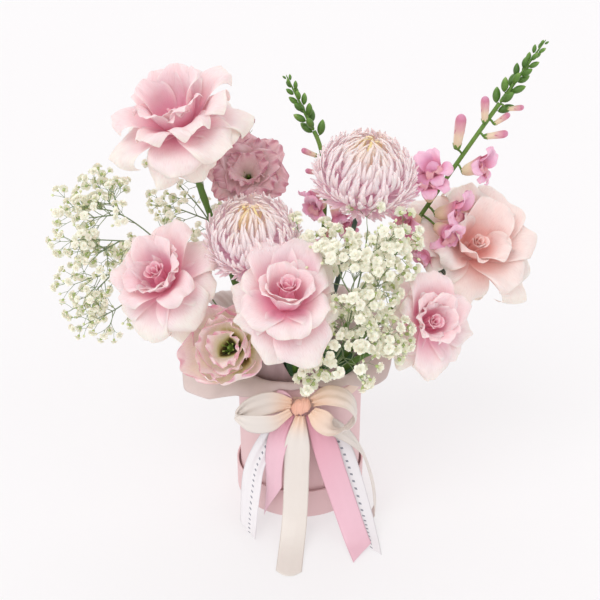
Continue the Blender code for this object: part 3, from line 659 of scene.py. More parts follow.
def lisianthus(number, centre, facing, radius, height, look, green, slot):
    """Rings of frilled petals round a green heart with six anthers."""
    name = "lisianthus_%d" % number
    rng = np.random.RandomState(300 + number)
    facing = unit(facing)
    base = mm(*centre) - facing * height * 0.00060
    rows = basis(facing, 0.2 + number)
    size = radius * 0.001
    mesh = Mesh()
    for count, length, width, lean, wrap, start, rise, offset in LISIANTHUS[number]:
        for i in range(count):
            jitter = rng.uniform(-1, 1, 7)
            shape = petal(size * length * (1 + 0.08 * jitter[0]), size * width * (1 + 0.1 * jitter[1]),
                          [a + 0.12 * jitter[2] for a in lean], size * wrap,
                          0.35 * jitter[3], 0.25 * jitter[4], size * (0.055 + 0.02 * jitter[5]),
                          2.4 + 0.7 * jitter[6], jitter[1] * 3, 0.16, rows=18, columns=25)
            points, v, u = shape
            frill = smooth(v, 0.80, 1.0) * size * (0.030 if number == 1 else 0.014)
            points[..., 2] += frill * np.sin(17 * u + 5 * jitter[2])
            points[..., 1] += frill * np.sin(13 * u + 3 * jitter[4])
            tone = 0.02 + 0.50 * smooth(v, 0.02, 0.50) + 0.18 * smooth(v, 0.5, 0.95)
            tone = tone + 0.30 * smooth(v + 0.10 * np.sin(9 * u + jitter[1] * 4), 0.90, 1.04)
            tone = tone + 0.20 * smooth(np.abs(u), 0.84, 1.0) + 0.08 * jitter[3]
            set_petal(mesh, base, rows, offset + (i + 0.15 * jitter[0]) * 2 * math.pi / count,
                      size * start, size * rise, shape, tone)
    mesh.piece(name + "_petals", look, 0.00035, 1, name, slot, name + "_bloom")
    heart = Mesh()
    heart.rod(base + np.outer(np.linspace(0.0, 0.40, 8) * size, facing),
              size * np.array([0.05, 0.09, 0.11, 0.10, 0.05, 0.035, 0.05, 0.03]), 0.6, sides=10)
    for k in range(6):
        turn = k * math.pi / 3 + 0.3
        out = rows[0] * math.cos(turn) + rows[1] * math.sin(turn)
        tip = base + facing * size * 0.42 + out * size * 0.16
        heart.rod(np.array([base + out * size * 0.05, base + facing * size * 0.25 + out * size * 0.11,
                            tip, tip + facing * size * 0.06]),
                  size * np.array([0.01, 0.012, 0.03, 0.02]), [0.4, 0.6, 1.0, 1.0], sides=6)
    heart.piece(name + "_heart", green, 0.0, 1, name, "green_fresh")
    calyx = Mesh()
    sepals(calyx, base - facing * 0.001, rows, (0.002, 0.0), (size * 0.62, size * 0.10),
           [0.9, 0.6, 0.9, 1.2], 0.02, 0.6, 0.3, base_width=0.8, rows=8)
    calyx.piece(name + "_sepals", green, 0.0004, 1, name, "green_stem")
    return base, facing


def lisianthus_bud(look, green):
    """A bud whose petals are still wound round each other, with their tips opening."""
    name = "lisianthus_3"
    rng = np.random.RandomState(333)
    facing = unit((0.10, -0.20, 0.97))
    base = mm(-71, 86, 437) - facing * 48 * 0.00060
    rows = basis(facing, 0.9)
    mesh = Mesh()
    for k in range(7):
        share = k / 6
        jitter = rng.uniform(-1, 1, 4)
        shape = petal(0.045 + 0.003 * jitter[0], 0.026 + 0.010 * share,
                      [0.55, 0.30, 0.0, -0.16 + 0.20 * share], 0.011 + 0.004 * share,
                      0.35 + 0.6 * share, 0.3, 0.0011, 2.0, jitter[1] * 3, 0.25, base_width=0.4)
        v = shape[1]
        tone = 0.18 + 0.42 * smooth(v, 0.0, 0.6) + 0.30 * smooth(v, 0.8, 1.0) + 0.06 * jitter[2]
        set_petal(mesh, base, rows, k * GOLDEN, 0.001 + 0.002 * share, 0.0, shape, tone)
    mesh.piece(name + "_petals", look, 0.00035, 1, name, "petal_mauve", name + "_bloom")
    calyx = Mesh()
    sepals(calyx, base, rows, (0.003, 0.0), (0.030, 0.005), [0.9, 0.35, 0.3, 0.6], 0.012, 0.6, 0.4,
           base_width=0.8, rows=8)
    calyx.piece(name + "_sepals", green, 0.0004, 1, name, "green_stem")
    stem(name, base, facing, green, "green_stem", (0.7,))


# ---- snapdragons

def snap_floret(mesh, calyx, foot, facing, size, openness, rng, spin=0.0):
    """A two-lipped flower: a broad tube, two upright lobes, a swollen palate, three lower lobes."""
    rows = facing_frame(facing)
    if spin:
        c, s = math.cos(spin), math.sin(spin)
        rows = np.array([rows[0] * c + rows[1] * s, rows[1] * c - rows[0] * s, rows[2]])
    foot = np.asarray(foot, float)
    closed = openness < 0.4
    if closed:
        length = size * 1.9
        profile = ((0.13, 0), (0.22, 0.12), (0.25, 0.35), (0.30, 0.7), (0.30, 0.88), (0.18, 0.97),
                   (0.02, 1.0))
    else:
        length = size * 1.15
        profile = ((0.14, 0), (0.27, 0.15), (0.32, 0.4), (0.36, 0.7), (0.42, 0.9), (0.40, 1.0),
                   (0.12, 0.86))
    tube = rings_of(profile, 16)
    tube[..., 0] *= size
    tube[..., 1] = tube[..., 1] * size * 1.05 + 0.10 * size * tube[..., 2] ** 2
    tube[..., 2] *= length
    tone = np.repeat([0.08, 0.12, 0.2, 0.42, 0.62, 0.70, 0.75], 16)
    mesh.grid(foot + tube @ rows, tone, wrap=True)
    if closed:
        for side in (-1, 1):
            shape = petal(size * 0.75, size * 0.5, [0.0, 0.0, -0.25, -0.5], size * 0.3, corner=0.3,
                          base_width=0.8, rows=7, columns=7)
            set_petal(mesh, foot, rows, side * 1.2, size * 0.26, length * 0.45, shape,
                      0.5 + 0.4 * shape[1])
    else:
        upper, lower = [0.0, 0.1, 0.5, 1.2], [0.5, 1.2, 1.8, 2.1]
        lobes = [(-0.42, 1.05, 1.0, upper), (0.42, 1.05, 1.0, upper),
                 (math.pi - 0.95, 0.85, 0.85, lower), (math.pi, 0.75, 0.75, [0.6, 1.3, 1.9, 2.3]),
                 (math.pi + 0.95, 0.85, 0.85, lower)]
        for turn_at, long, width, lean in lobes:
            jitter = rng.uniform(-1, 1, 4)
            shape = petal(size * long * (1 + 0.08 * jitter[2]), size * width,
                          [a + 0.12 * jitter[3] for a in lean], size * 0.55, 0.3, 0.4, size * 0.05,
                          1.6, jitter[0] * 3, 0.2, base_width=0.6, rows=10, columns=11)
            tone = 0.62 + 0.36 * smooth(shape[1], 0.05, 0.8) + 0.05 * jitter[1]
            set_petal(mesh, foot, rows, turn_at + 0.08 * jitter[2], size * 0.34, size * 0.92, shape,
                      tone)
        for side in (-1, 1):
            bump = petal(size * 0.75, size * 0.55, [0.0, 0.6, 1.6, 2.6], size * 0.22, base_width=0.8,
                         rows=8, columns=9)
            set_petal(mesh, foot, rows, math.pi + 0.55 * side, size * 0.16, size * 0.90, bump,
                      0.30 + 0.25 * bump[1])
    for k in range(5):
        shape = petal(size * 0.40, size * 0.28, [1.2, 0.4, 0.3], size * 0.3, base_width=0.8,
                      widest=0.3, corner=0.3, rows=6, columns=5)
        set_petal(calyx, foot - rows[2] * size * 0.02, rows, k * 2 * math.pi / 5, size * 0.08,
                  -size * 0.02, shape, 0.4 + 0.3 * shape[1])


def bud(mesh, foot, facing, length, width, tone):
    """A closed bud: a small pointed drop."""
    profile = ((0.20, 0.0), (0.75, 0.15), (1.0, 0.42), (0.85, 0.68), (0.45, 0.90), (0.05, 1.0))
    rings = rings_of([(r * width * 0.5, h * length) for r, h in profile], 8)
    tones = tone + 0.45 * np.repeat([0.3, 0.0, 0.0, 0.2, 0.7, 1.0], 8)
    mesh.grid(foot + rings @ basis(facing), tones, wrap=True)


SPIKES = {
    # flowers, each with a node of its own, and half-open buds: foot, facing, size, openness
    1: dict(base=(221, 39, 474), axis=(0.54, 0.02, 0.84), length=84, buds=22,
            florets=[((160, 28, 384), (-0.45, -0.40, 0.80), 24, 1.0),
                     ((184, 31, 398), (0.80, -0.40, 0.40), 23, 0.9)],
            half=[((176, 33, 424), (0.05, -0.15, 1.0), 21, 0.2),
                  ((205, 34, 453), (-0.10, -0.2, 1.0), 16, 0.2),
                  ((205, 32, 438), (0.95, -0.25, 0.15), 14, 0.2),
                  ((215, 32, 452), (0.7, -0.4, 0.6), 11, 0.2),
                  ((228, 36, 468), (0.9, -0.3, 0.1), 10, 0.2),
                  ((148, 24, 366), (-0.15, -0.35, 0.9), 26, 0.9),
                  ((138, 22, 344), (-0.80, -0.55, 0.20), 22, 1.0),
                  ((155, 22, 351), (0.85, -0.45, 0.25), 25, 1.0),
                  ((156, 18, 338), (0.45, -0.85, -0.1), 23, 1.0),
                  ((133, 20, 334), (-0.55, -0.70, -0.40), 21, 1.0),
                  ((158, 14, 316), (-0.70, -0.60, -0.40), 22, 0.9)]),
    2: dict(base=(16, 68, 436), axis=(-0.45, 0.05, 0.89), length=74, buds=18,
            florets=[((29, 55, 352), (-0.5, -0.80, 0.1), 19, 0.9),
                     ((44, 58, 320), (0.7, -0.6, 0.3), 19, 0.9)],
            half=[((20, 62, 408), (-0.9, -0.3, 0.4), 11, 0.2),
                  ((24, 60, 388), (-0.95, -0.3, 0.2), 10, 0.2),
                  ((29, 58, 368), (-0.8, -0.5, -0.3), 18, 0.8),
                  ((38, 54, 354), (0.35, -0.6, -0.7), 19, 0.9),
                  ((36, 52, 322), (-0.3, -0.8, -0.5), 18, 1.0)]),
}


def snapdragon(number, look, green):
    """A stem with open flowers, half-open buds and a tapering spike of closed buds."""
    name = "snapdragon_%d" % number
    values = SPIKES[number]
    rng = np.random.RandomState(400 + number)
    base, axis = mm(*values["base"]), unit(values["axis"])
    path = stem(name, base, axis, green, "green_fresh")

    def stalk(mesh, foot, radius):
        near = path[np.argmin(np.linalg.norm(path - foot, axis=1))]
        mesh.rod(np.array([near, (near + foot) / 2 + UP * 0.001, foot]), radius, 0.5, sides=6)

    for index, (foot, facing, size, openness) in enumerate(values["florets"], 1):
        flower, calyx = Mesh(), Mesh()
        snap_floret(flower, calyx, mm(*foot), facing, size * 0.001, openness, rng,
                    spin=rng.uniform(-0.4, 0.4))
        stalk(calyx, mm(*foot), 0.0011)
        node = "%s_floret_%d" % (name, index)
        flower.piece(node + "_petals", look, 0.00035, 1, name, "petal_snap", node)
        calyx.piece(node + "_calyx", green, 0.0003, 0, name, "green_fresh")
    flowers, calyces, buds = Mesh(), Mesh(), Mesh()
    for foot, facing, size, openness in values["half"]:
        stalk(calyces, mm(*foot), 0.0012)
        snap_floret(flowers, calyces, mm(*foot), facing, size * 0.001, openness, rng)
    flowers.piece(name + "_half_open", look, 0.00035, 1, name, "petal_snap")
    calyces.piece(name + "_calyces", green, 0.0003, 0, name, "green_fresh")
    tip = base + axis * values["length"] * 0.001
    run = np.linspace(0, 1, 12)[:, None]
    buds.rod(base + (tip - base) * run * 0.96, np.linspace(0.0026, 0.0007, 12), 0.5, sides=8)
    rows = basis(axis)
    count = values["buds"]
    for i in range(count):
        share = i / (count - 1)
        along = share ** 0.85
        point = base + (tip - base) * (along - 0.10)
        turn = GOLDEN * i
        out = rows[0] * math.cos(turn) + rows[1] * math.sin(turn)
        length_here = 0.0130 * (1 - share) ** 0.7 + 0.0052
        foot = point + out * (0.0020 + 0.0022 * (1 - share))
        if share < 0.7:
            buds.rod(np.array([point, foot]), 0.0009, 0.5, sides=5)
        bud(buds, foot, unit(out * (0.75 - 0.3 * share) + axis), length_here,
            length_here * 0.60, 0.05 + 0.4 * rng.uniform())
    buds.piece(name + "_buds", green, 0.0, 1, name, "green_fresh", name + "_bud_spike")


# ---- baby's breath

def breath_floret(rng):
    """A double flower about 1 across in its own units: points, faces and tones."""
    mesh = Mesh()
    rows = basis(UP)
    origin = np.zeros(3)
    for count, length, lean, width, start in ((7, 0.44, [1.00, 1.45, 1.80], 0.50, 0.05),
                                              (7, 0.45, [0.75, 1.10, 1.45], 0.46, 0.04),
                                              (6, 0.45, [0.50, 0.80, 1.15], 0.42, 0.03),
                                              (5, 0.44, [0.25, 0.45, 0.80], 0.38, 0.02),
                                              (3, 0.36, [0.05, 0.15, 0.40], 0.30, 0.01)):
        for i in range(count):
            jitter = rng.uniform(-1, 1, 3)
            shape = petal(length * (1 + 0.1 * jitter[0]), width, [a + 0.12 * jitter[1] for a in lean],
                          0.3, ruffle=0.03, phase=jitter[2] * 3, corner=0.15, base_width=0.4, rows=4,
                          columns=4)
            set_petal(mesh, origin, rows, GOLDEN * i + count + 0.2 * jitter[0], start, 0.0, shape,
                      0.35 + 0.65 * smooth(shape[1], 0.0, 0.45) + 0.08 * jitter[0])
    mesh.grid(rings_of(((0.04, -0.30), (0.13, -0.22), (0.17, -0.08), (0.14, 0.05)), 6), 0.05, wrap=True)
    return np.vstack(mesh.points), mesh.faces, np.concatenate(mesh.tones), np.vstack(mesh.places)


SPRAYS = {
    # the first path is the main stem, the others branch off from it or from each other
    1: dict(entry=(-56, 4), lean=(-0.55, 0.0, 0.83), twigs=7,
            spread=0.85, twig=0.032, bloom=0.0108, seed=9, paths=[
        [(-62, 4, 181), (-110, 3, 262), (-160, 0, 324), (-200, -6, 360), (-234, -12, 370)],
        [(-110, 3, 262), (-165, -4, 282), (-215, -14, 290), (-240, -20, 288)],
        [(-160, 0, 324), (-202, -10, 330), (-238, -16, 334)],
        [(-200, -6, 360), (-216, 4, 374)],
        [(-200, -6, 360), (-230, -12, 358)],
        [(-165, -4, 282), (-206, -20, 254), (-226, -26, 244)],
        [(-215, -14, 290), (-238, -20, 268)],
        [(-202, -10, 330), (-228, -8, 314)]]),
    2: dict(entry=(-50, 26), lean=(-0.25, 0.0, 0.97), twigs=4,
            spread=0.9, twig=0.026, bloom=0.0105, seed=5, paths=[
        [(-53, 26, 184), (-78, 26, 270), (-106, 26, 342), (-146, 24, 396)],
        [(-106, 26, 342), (-112, 30, 400)],
        [(-106, 26, 342), (-142, 18, 360)]]),
    3: dict(entry=(2, -8), lean=(0.0, -0.15, 0.99), twigs=5,
            spread=0.9, twig=0.022, bloom=0.0130, seed=6, paths=[
        [(2, -10, 185), (4, -24, 260), (8, -40, 318), (2, -44, 345)],
        [(8, -40, 318), (20, -42, 340)],
        [(4, -24, 260), (26, -38, 308)]]),
    4: dict(entry=(26, -42), lean=(0.25, -0.45, 0.85), twigs=6,
            spread=0.95, twig=0.028, bloom=0.0132, seed=7, paths=[
        [(29, -48, 183), (46, -78, 232), (58, -84, 290), (68, -66, 330), (72, -52, 358)],
        [(46, -78, 232), (66, -92, 262), (78, -80, 292)],
        [(46, -78, 232), (52, -100, 250), (50, -104, 276)],
        [(58, -84, 290), (44, -86, 316), (40, -76, 332)],
        [(68, -66, 330), (96, -62, 352)],
        [(58, -84, 290), (80, -66, 318), (98, -54, 328)],
        [(46, -78, 232), (47, -99, 230), (52, -102, 224)],
        [(47, -99, 230), (30, -104, 218)],
        [(46, -78, 232), (68, -93, 240), (84, -93, 238)],
        [(46, -78, 232), (70, -90, 252), (87, -88, 252)],
        [(58, -84, 290), (54, -88, 304), (60, -82, 318)],
        [(58, -84, 290), (74, -82, 302), (86, -78, 306)]]),
}


def spray(number, stem_green, flower):
    """Branching stems, ever thinner, with a double flower or a bud at each end."""
    name = "gypsophila_%d" % number
    values = SPRAYS[number]
    rng = np.random.RandomState(500 + values["seed"])
    florets = [breath_floret(rng) for _ in range(4)]
    stems, heads = Mesh(), Mesh()
    entry = mm(*values["entry"], FOAM_TOP)
    foot = [entry - unit(values["lean"]) * STEM_DEPTH, entry]

    def head(point, facing, size):
        points, faces, tones, places = florets[rng.randint(4)]
        rows = basis(facing, rng.uniform(0, 6.28))
        heads.add(point + (points * size) @ rows, faces, tones, places)

    def twig(point, direction, length, depth, thick):
        """Grows a twig that forks depth times."""
        bend = unit(rng.normal(size=3)) * 0.22
        end = point + unit(direction + bend) * length
        middle = (point + end) / 2 + bend * length * 0.15
        stems.rod(np.array([point, middle, end]), [thick, thick * 0.9, thick * 0.8], 0.6, sides=5)
        heading = unit(end - middle)
        if depth == 0:
            if rng.uniform() < 0.80:
                head(end + heading * 0.0025, heading, values["bloom"] * rng.uniform(0.8, 1.12))
            else:
                bud(heads, end, heading, 0.0042, 0.0032, 0.25)
            return
        rows = basis(heading, rng.uniform(0, 6.28))
        forks = 3 if rng.uniform() < 0.45 else 2
        for k in range(forks):
            turn = k * 2 * math.pi / forks
            out = rows[0] * math.cos(turn) + rows[1] * math.sin(turn)
            twig(end, unit(heading + out * values["spread"] * rng.uniform(0.6, 1.1)),
                 length * rng.uniform(0.62, 0.9), depth - 1, thick * 0.75)

    for k, points in enumerate(values["paths"]):
        path = np.array([mm(*p) for p in points])
        if k == 0:
            path = np.vstack([foot, path])
        fine = spline(path, np.linspace(0, 1, 8 * len(path)))
        thick = (0.0009, 0.0006) if k else (0.0013, 0.0007)
        stems.rod(fine, np.linspace(*thick, len(fine)), 0.45, sides=8)
        heading = unit(fine[-1] - fine[-4])
        twig(fine[-1], heading, values["twig"] * 0.5, 2, 0.0005)
        for _ in range(values["twigs"] if k else values["twigs"] + 2):
            at = rng.uniform(0.45 if k == 0 else 0.30, 0.98)
            index = min(int(at * len(fine)), len(fine) - 2)
            ahead = unit(fine[index + 1] - fine[index])
            if fine[index][2] < (0.224 if number == 4 else 0.200):
                continue
            side = unit(np.cross(ahead, unit(rng.normal(size=3))))
            if fine[index][2] < 0.245:
                side[2] = abs(side[2])
            twig(fine[index], unit(ahead * 0.7 + side * values["spread"]),
                 values["twig"] * rng.uniform(0.35, 0.6), 1 if rng.uniform() < 0.5 else 2, 0.0005)
    stems.piece(name + "_stems", stem_green, 0.0, 0, name, "petal_gyp", name)
    heads.piece(name + "_flowers", flower, 0.0, 0, name, "petal_gyp")


# ---- ribbons

RIBBON_WIDTH = 0.029
FOLD, GATHERS = 0.0011, 2.5
ABOVE_TABLE = 0.0006


def satin_look(name, colour, dark, near, dashes=False):
    """Satin: a soft sheen, fine threads along the ribbon and a tight woven edge."""
    look = Look(name, 0.34, Sheen_Weight=0.35, Sheen_Roughness=0.3, Anisotropic=0.5,
                Specular_IOR_Level=0.45)
    uv = look.uv()
    threads = look.noise(14.0, 2.0, coords=uv, stretch=(0.25, 9.0, 1.0))
    patch = look.noise(30.0, 3.0)
    split = look.node("ShaderNodeSeparateXYZ")
    look.link(uv, split.inputs["Vector"])
    edge = look.maths("ABSOLUTE", look.maths("SUBTRACT", split.outputs["Y"], 0.5), 0.0)
    hem = look.maths("GREATER_THAN", edge, 0.468)
    mixed = look.mix(look.maths("MULTIPLY", patch, 0.35), colour, dark)
    mixed = look.mix(look.maths("MULTIPLY", threads, 0.22), mixed, dark)
    mixed = look.mix(look.maths("MULTIPLY", hem, 0.45), mixed, dark)
    # painted shade: near, a darker and warmer colour, is mixed in where the tone is low, by the knot
    # under the bow
    mixed = look.mix(look.maths("SUBTRACT", 1.0, look.tone()), mixed, near)
    if dashes:
        along = look.maths("FRACT", look.maths("MULTIPLY", split.outputs["X"], 3.6), 0.0)
        from_line = look.maths("ABSOLUTE", look.maths("SUBTRACT", split.outputs["Y"], 0.60), 0.0)
        dash = look.maths("MULTIPLY", look.maths("LESS_THAN", from_line, 0.05),
                          look.maths("LESS_THAN", along, 0.30))
        mixed = look.mix(look.maths("MULTIPLY", dash, 0.8), mixed, (0.38, 0.40, 0.46))
    ribs = look.node("ShaderNodeTexWave", wave_type="BANDS", bands_direction="X")
    ribs.inputs["Scale"].default_value = 30.0
    look.link(uv, ribs.inputs["Vector"])
    height = look.maths("ADD", look.maths("MULTIPLY", threads, 0.6),
                        look.maths("MULTIPLY", look.maths("MULTIPLY", ribs.outputs["Fac"], hem), 0.8))
    look.bump(height, 0.18, 0.0003)
    return look.colour(mixed)


def ribbon(name, node, path, sides, widths, look, slot, slant=0.0, round_end=0.0, held="hung",
           segments=96, sway=0.0010, knot_shade_reach=0.16):
    """A ribbon along path (mm) with its width along sides, gathered where widths are under 1.

    slant: how much shorter one edge is than the other; round_end: how much its end bulges;
    knot_shade_reach: how far the painted shade near the knot runs.
    """
    path = np.array([mm(*p) for p in path])
    columns = 17
    u = np.linspace(0, 1, segments)[:, None] + np.zeros((1, columns))
    across = (np.linspace(0, 1, columns) - 0.5)[None, :] + np.zeros((segments, 1))
    t = u * (1.0 - abs(slant) * (0.5 + math.copysign(1, slant) * across)
             - round_end * (2 * across) ** 2)
    flat_t, a = t.ravel(), across.ravel()
    centre = spline(path, flat_t)
    ahead = spline(path, np.minimum(flat_t + 0.01, 1)) - spline(path, np.maximum(flat_t - 0.01, 0))
    ahead /= np.linalg.norm(ahead, axis=1)[:, None]
    side = spline(np.array([np.array(v, float) for v in sides]), flat_t)
    side = side - ahead * np.sum(side * ahead, axis=1)[:, None]
    side /= np.linalg.norm(side, axis=1)[:, None]
    normal = np.cross(side, ahead)
    share = spline(np.array([(w, 0.0) for w in widths]), flat_t)[:, 0]
    tight = np.clip(1.0 - share, 0, 1)
    wave = FOLD * (0.10 + 2.4 * tight) * np.sin(a * math.pi * 2 * GATHERS + 5 * flat_t)
    sway = sway * np.sin(9 * flat_t + len(name)) * smooth(flat_t, 0.1, 0.4)
    wave = wave + 0.0010 * (2 * a) ** 2 + sway
    points = centre + side * (a * RIBBON_WIDTH * share)[:, None] + normal * wave[:, None]
    points[:, 2] = np.maximum(points[:, 2], ABOVE_TABLE)
    mesh = Mesh()
    # painted shade: the tone falls towards the knot, at both ends for a folded loop, and satin_look
    # paints a darker, warmer colour there
    knot_end = np.minimum(u, 1 - u) if held == "folded" else u
    mesh.grid(points.reshape(segments, columns, 3), 0.25 + 0.75 * smooth(knot_end, 0.0, knot_shade_reach))
    steps = np.diff(spline(path, np.linspace(0, 1, 200)), axis=0)
    length = float(np.sum(np.linalg.norm(steps, axis=1)))
    mesh.places[-1] = np.stack([u.ravel() * length / RIBBON_WIDTH, a + 0.5], -1)
    obj = mesh.piece(name, look, 0.0003, 0, "box", slot, node)


WIDE = (1.0, 0.0, 0.0)


def tails(cream, pink, white):
    ribbon("cream_front_tail", "tail_cream_front",
           [(0, -98, 155), (-3, -101, 120), (-4, -103, 82), (-5, -109, 46), (-7, -121, 20),
            (-10, -144, 4), (-13, -182, 1.2)], [WIDE, WIDE], [0.35, 0.95, 1, 1, 1, 1, 1], cream,
           "satin_cream", round_end=0.035)
    ribbon("pink_right_tail", "tail_pink_right",
           [(12, -93, 154), (26, -94, 121), (38, -99, 82), (54, -111, 36), (66, -129, 7),
            (74, -157, 1.6)], [WIDE, (1.0, 0.25, 0.1), (0.93, 0.35, 0.03)], [0.4, 0.95, 1, 1, 1, 1],
           pink, "satin_pink", slant=0.15, knot_shade_reach=0.75)
    ribbon("white_right_tail", "tail_white_right",
           [(18, -88, 155), (42, -88, 112), (58, -93, 68), (71, -107, 26), (77, -121, 6),
            (80, -149, 1.4)], [WIDE, (1.0, 0.3, 0.0), (0.93, 0.4, 0.0)], [0.4, 0.95, 1, 1, 0.95, 0.9],
           white, "satin_white", slant=-0.16)
    ribbon("pink_left_tail", "tail_pink_left",
           [(-10, -93, 154), (-25, -94, 122), (-31, -94, 84), (-33, -93, 44), (-37, -93, 3)],
           [(0.9, 0.0, 0.1), (0.72, -0.60, 0.0), (0.60, -0.70, 0.0), (0.45, -0.85, 0.0)],
           [0.4, 0.9, 1, 1, 0.95], pink, "satin_pink", slant=0.36, knot_shade_reach=0.5)
    ribbon("white_left_tail", "tail_white_left",
           [(-16, -87, 155), (-37, -81, 114), (-53, -84, 77), (-59, -93, 46), (-61, -105, 16),
            (-60, -127, 1.8)],
           [(0.9, 0.2, 0.1), (0.95, -0.05, 0.0), (0.74, -0.50, 0.0), (0.5, -0.8, 0.0)],
           [0.35, 0.70, 0.80, 0.9, 0.9, 0.75], white, "satin_white", slant=-0.20)
    ribbon("cream_side_tail", "tail_cream_side",
           [(18, -98, 154), (34, -96, 142), (53, -89, 125), (69, -80, 102), (79, -76, 80),
            (88, -75, 50), (91, -77, 24), (88, -82, 11), (81, -87, 5)],
           [(0.3, 0.3, 0.9), (0.2, 0.8, 0.3), (0.1, 0.9, -0.3), (0.1, 0.9, -0.3), (0.15, 1.0, 0.0),
            (0.2, 0.95, 0.0)], [0.25, 0.7, 0.8, 0.8, 0.8, 0.8, 0.8, 0.75, 0.7], cream, "satin_cream")
    ribbon("pink_stub", "ribbon_pink_stub", [(-9, -90, 168), (-18, -88, 171), (-27, -86, 173)],
           [(0, 0.2, 1), (0, 0.2, 1)], [0.35, 0.6, 0.6], pink, "satin_pink", segments=24, sway=0.0)


def bow(cream, peach):
    ribbon("left_loop", "bow_loop_left",
           [(-9, -94, 168), (-30, -93, 169), (-52, -93, 163), (-68, -96, 156), (-70, -100, 153),
            (-54, -107, 149), (-30, -109, 152), (-10, -101, 162)],
           [(0, 0.5, 0.9), (0, 0.5, 0.9), (0.2, 0.4, 0.9), (0.2, 0.0, 1), (0.3, -0.3, 1),
            (0.15, -0.3, 1), (0, -0.3, 1)], [0.40, 0.82, 0.82, 0.46, 0.42, 0.98, 0.95, 0.42], cream,
           "satin_cream", held="folded", sway=0.0, knot_shade_reach=0.22)
    ribbon("right_loop", "bow_loop_right",
           [(13, -94, 171), (30, -96, 180), (48, -97, 178), (59, -97, 169), (63, -98, 156),
            (57, -99, 144), (46, -101, 138), (34, -104, 143), (23, -104, 154), (13, -101, 163)],
           [(0, 0.4, 1), (0.1, 0.6, 0.8), (0.2, 0.9, 0.4), (0.1, 1.0, 0.2), (0.1, 1.0, 0.0),
            (0.3, 0.9, -0.3), (0.8, 0.3, 0.6), (0.7, 0.2, 0.7)],
           [0.40, 0.75, 0.8, 0.8, 0.8, 0.75, 0.66, 0.76, 0.85, 0.42], cream, "satin_cream",
           held="folded", sway=0.0, knot_shade_reach=0.40)
    knot(peach)


def knot(look):
    """The band pulled round the middle of the bow: a barrel with slanting gathers."""
    mesh = Mesh()
    centre = mm(1, -96, 166)
    rows, columns = 41, 48
    v = np.linspace(-1, 1, rows)[:, None]
    turn = np.linspace(0, 2 * math.pi, columns, endpoint=False)[None, :]
    pleat = 0.075 * np.sin(v * 10 + 1.5 * np.sin(turn + 0.6)) + 0.04 * np.sin(v * 21 + 2 * turn)
    radius = np.sqrt(np.clip(1 - np.abs(v) ** 3.0, 0.02, 1)) * (1 + pleat)
    x = 0.0105 * v * (1 + 0.08 * np.cos(turn)) + 0.0025 * np.sin(turn) * (1 - v ** 2)
    y = -0.0075 * radius * np.cos(turn)
    z = 0.0098 * radius * np.sin(turn) + 0.0016 * v
    mesh.grid(np.stack([x, y, z], -1) + centre, 1.0, wrap=True)
    mesh.piece("knot_band", look, 0.0, 1, "box", "satin_cream", "bow_knot")


# ---- paper, box, lid, foam

PEARL = [(0.25, (0.78, 0.71, 0.70)), (0.6, (0.87, 0.80, 0.78)), (0.9, (0.92, 0.87, 0.85))]
# painted shade: SHADED is a darker copy of the pearl paper's colours, for the inner fold that stands in
# shade
SHADED = [(0.25, (0.63, 0.53, 0.54)), (0.6, (0.74, 0.63, 0.64)), (0.9, (0.80, 0.70, 0.70))]


def collar_look(name, stops):
    look = Look(name, 0.38, Sheen_Weight=0.2, Coat_Weight=0.15, Coat_Roughness=0.35)
    cloud = look.noise(14.0, 4.0)
    fibre = look.noise(260.0, 3.0, stretch=(1.0, 1.0, 0.4))
    base = look.ramp(cloud, stops)
    base = look.mix(look.maths("MULTIPLY", fibre, 0.15), base, (0.74, 0.64, 0.65))
    height = look.maths("ADD", look.noise(35.0, 5.0), look.maths("MULTIPLY", fibre, 0.15))
    look.bump(height, 0.35, 0.0012)
    return look.colour(base)


def board_look():
    """Matt pink paper glued over board: faint cloudiness, fibre grain, and a faint painted glow that
    brightens the board where ribbons and flowers shade it.
    """
    look = Look("covering_paper", 0.62, Specular_IOR_Level=0.35)
    cloud = look.noise(9.0, 3.0)
    fibre = look.noise(700.0, 3.0)
    base = look.ramp(cloud, [(0.2, (0.87, 0.745, 0.75)), (0.8, (0.90, 0.775, 0.78))])
    base = look.mix(look.maths("MULTIPLY", fibre, 0.10), base, (0.78, 0.64, 0.65))
    # painted light: a faint glow of the paper's own colour brightens the board in the shade of the
    # ribbons and flowers
    look.painted_glow(base, 0.045)
    look.bump(look.maths("ADD", fibre, look.maths("MULTIPLY", cloud, 0.6)), 0.12, 0.0004)
    return look.colour(base)


PAPER_LOW, PAPER_INSIDE = 0.150, 0.0690
RIM_RADIUS, RIM_HEIGHT = 0.0722, 0.1795


def cornered(points, u, soft=0.02):
    """Straight lines through the points with slightly rounded corners, at u from 0 to 1."""
    points = np.asarray(points, float)
    knots = np.linspace(0, 1, len(points))
    total = 0
    for shift in (-soft, -soft / 2, 0.0, soft / 2, soft):
        at = np.clip(u + shift, 0, 1)
        total = total + np.stack([np.interp(at, knots, column) for column in points.T], -1)
    return total / 5


def paper_piece(name, points, look, *nodes):
    """Makes a paper sheet of the points."""
    mesh = Mesh()
    mesh.grid(points, 0.5)
    obj = mesh.piece(name, look, 0.0003, 0, "box", "collar_paper", *nodes)


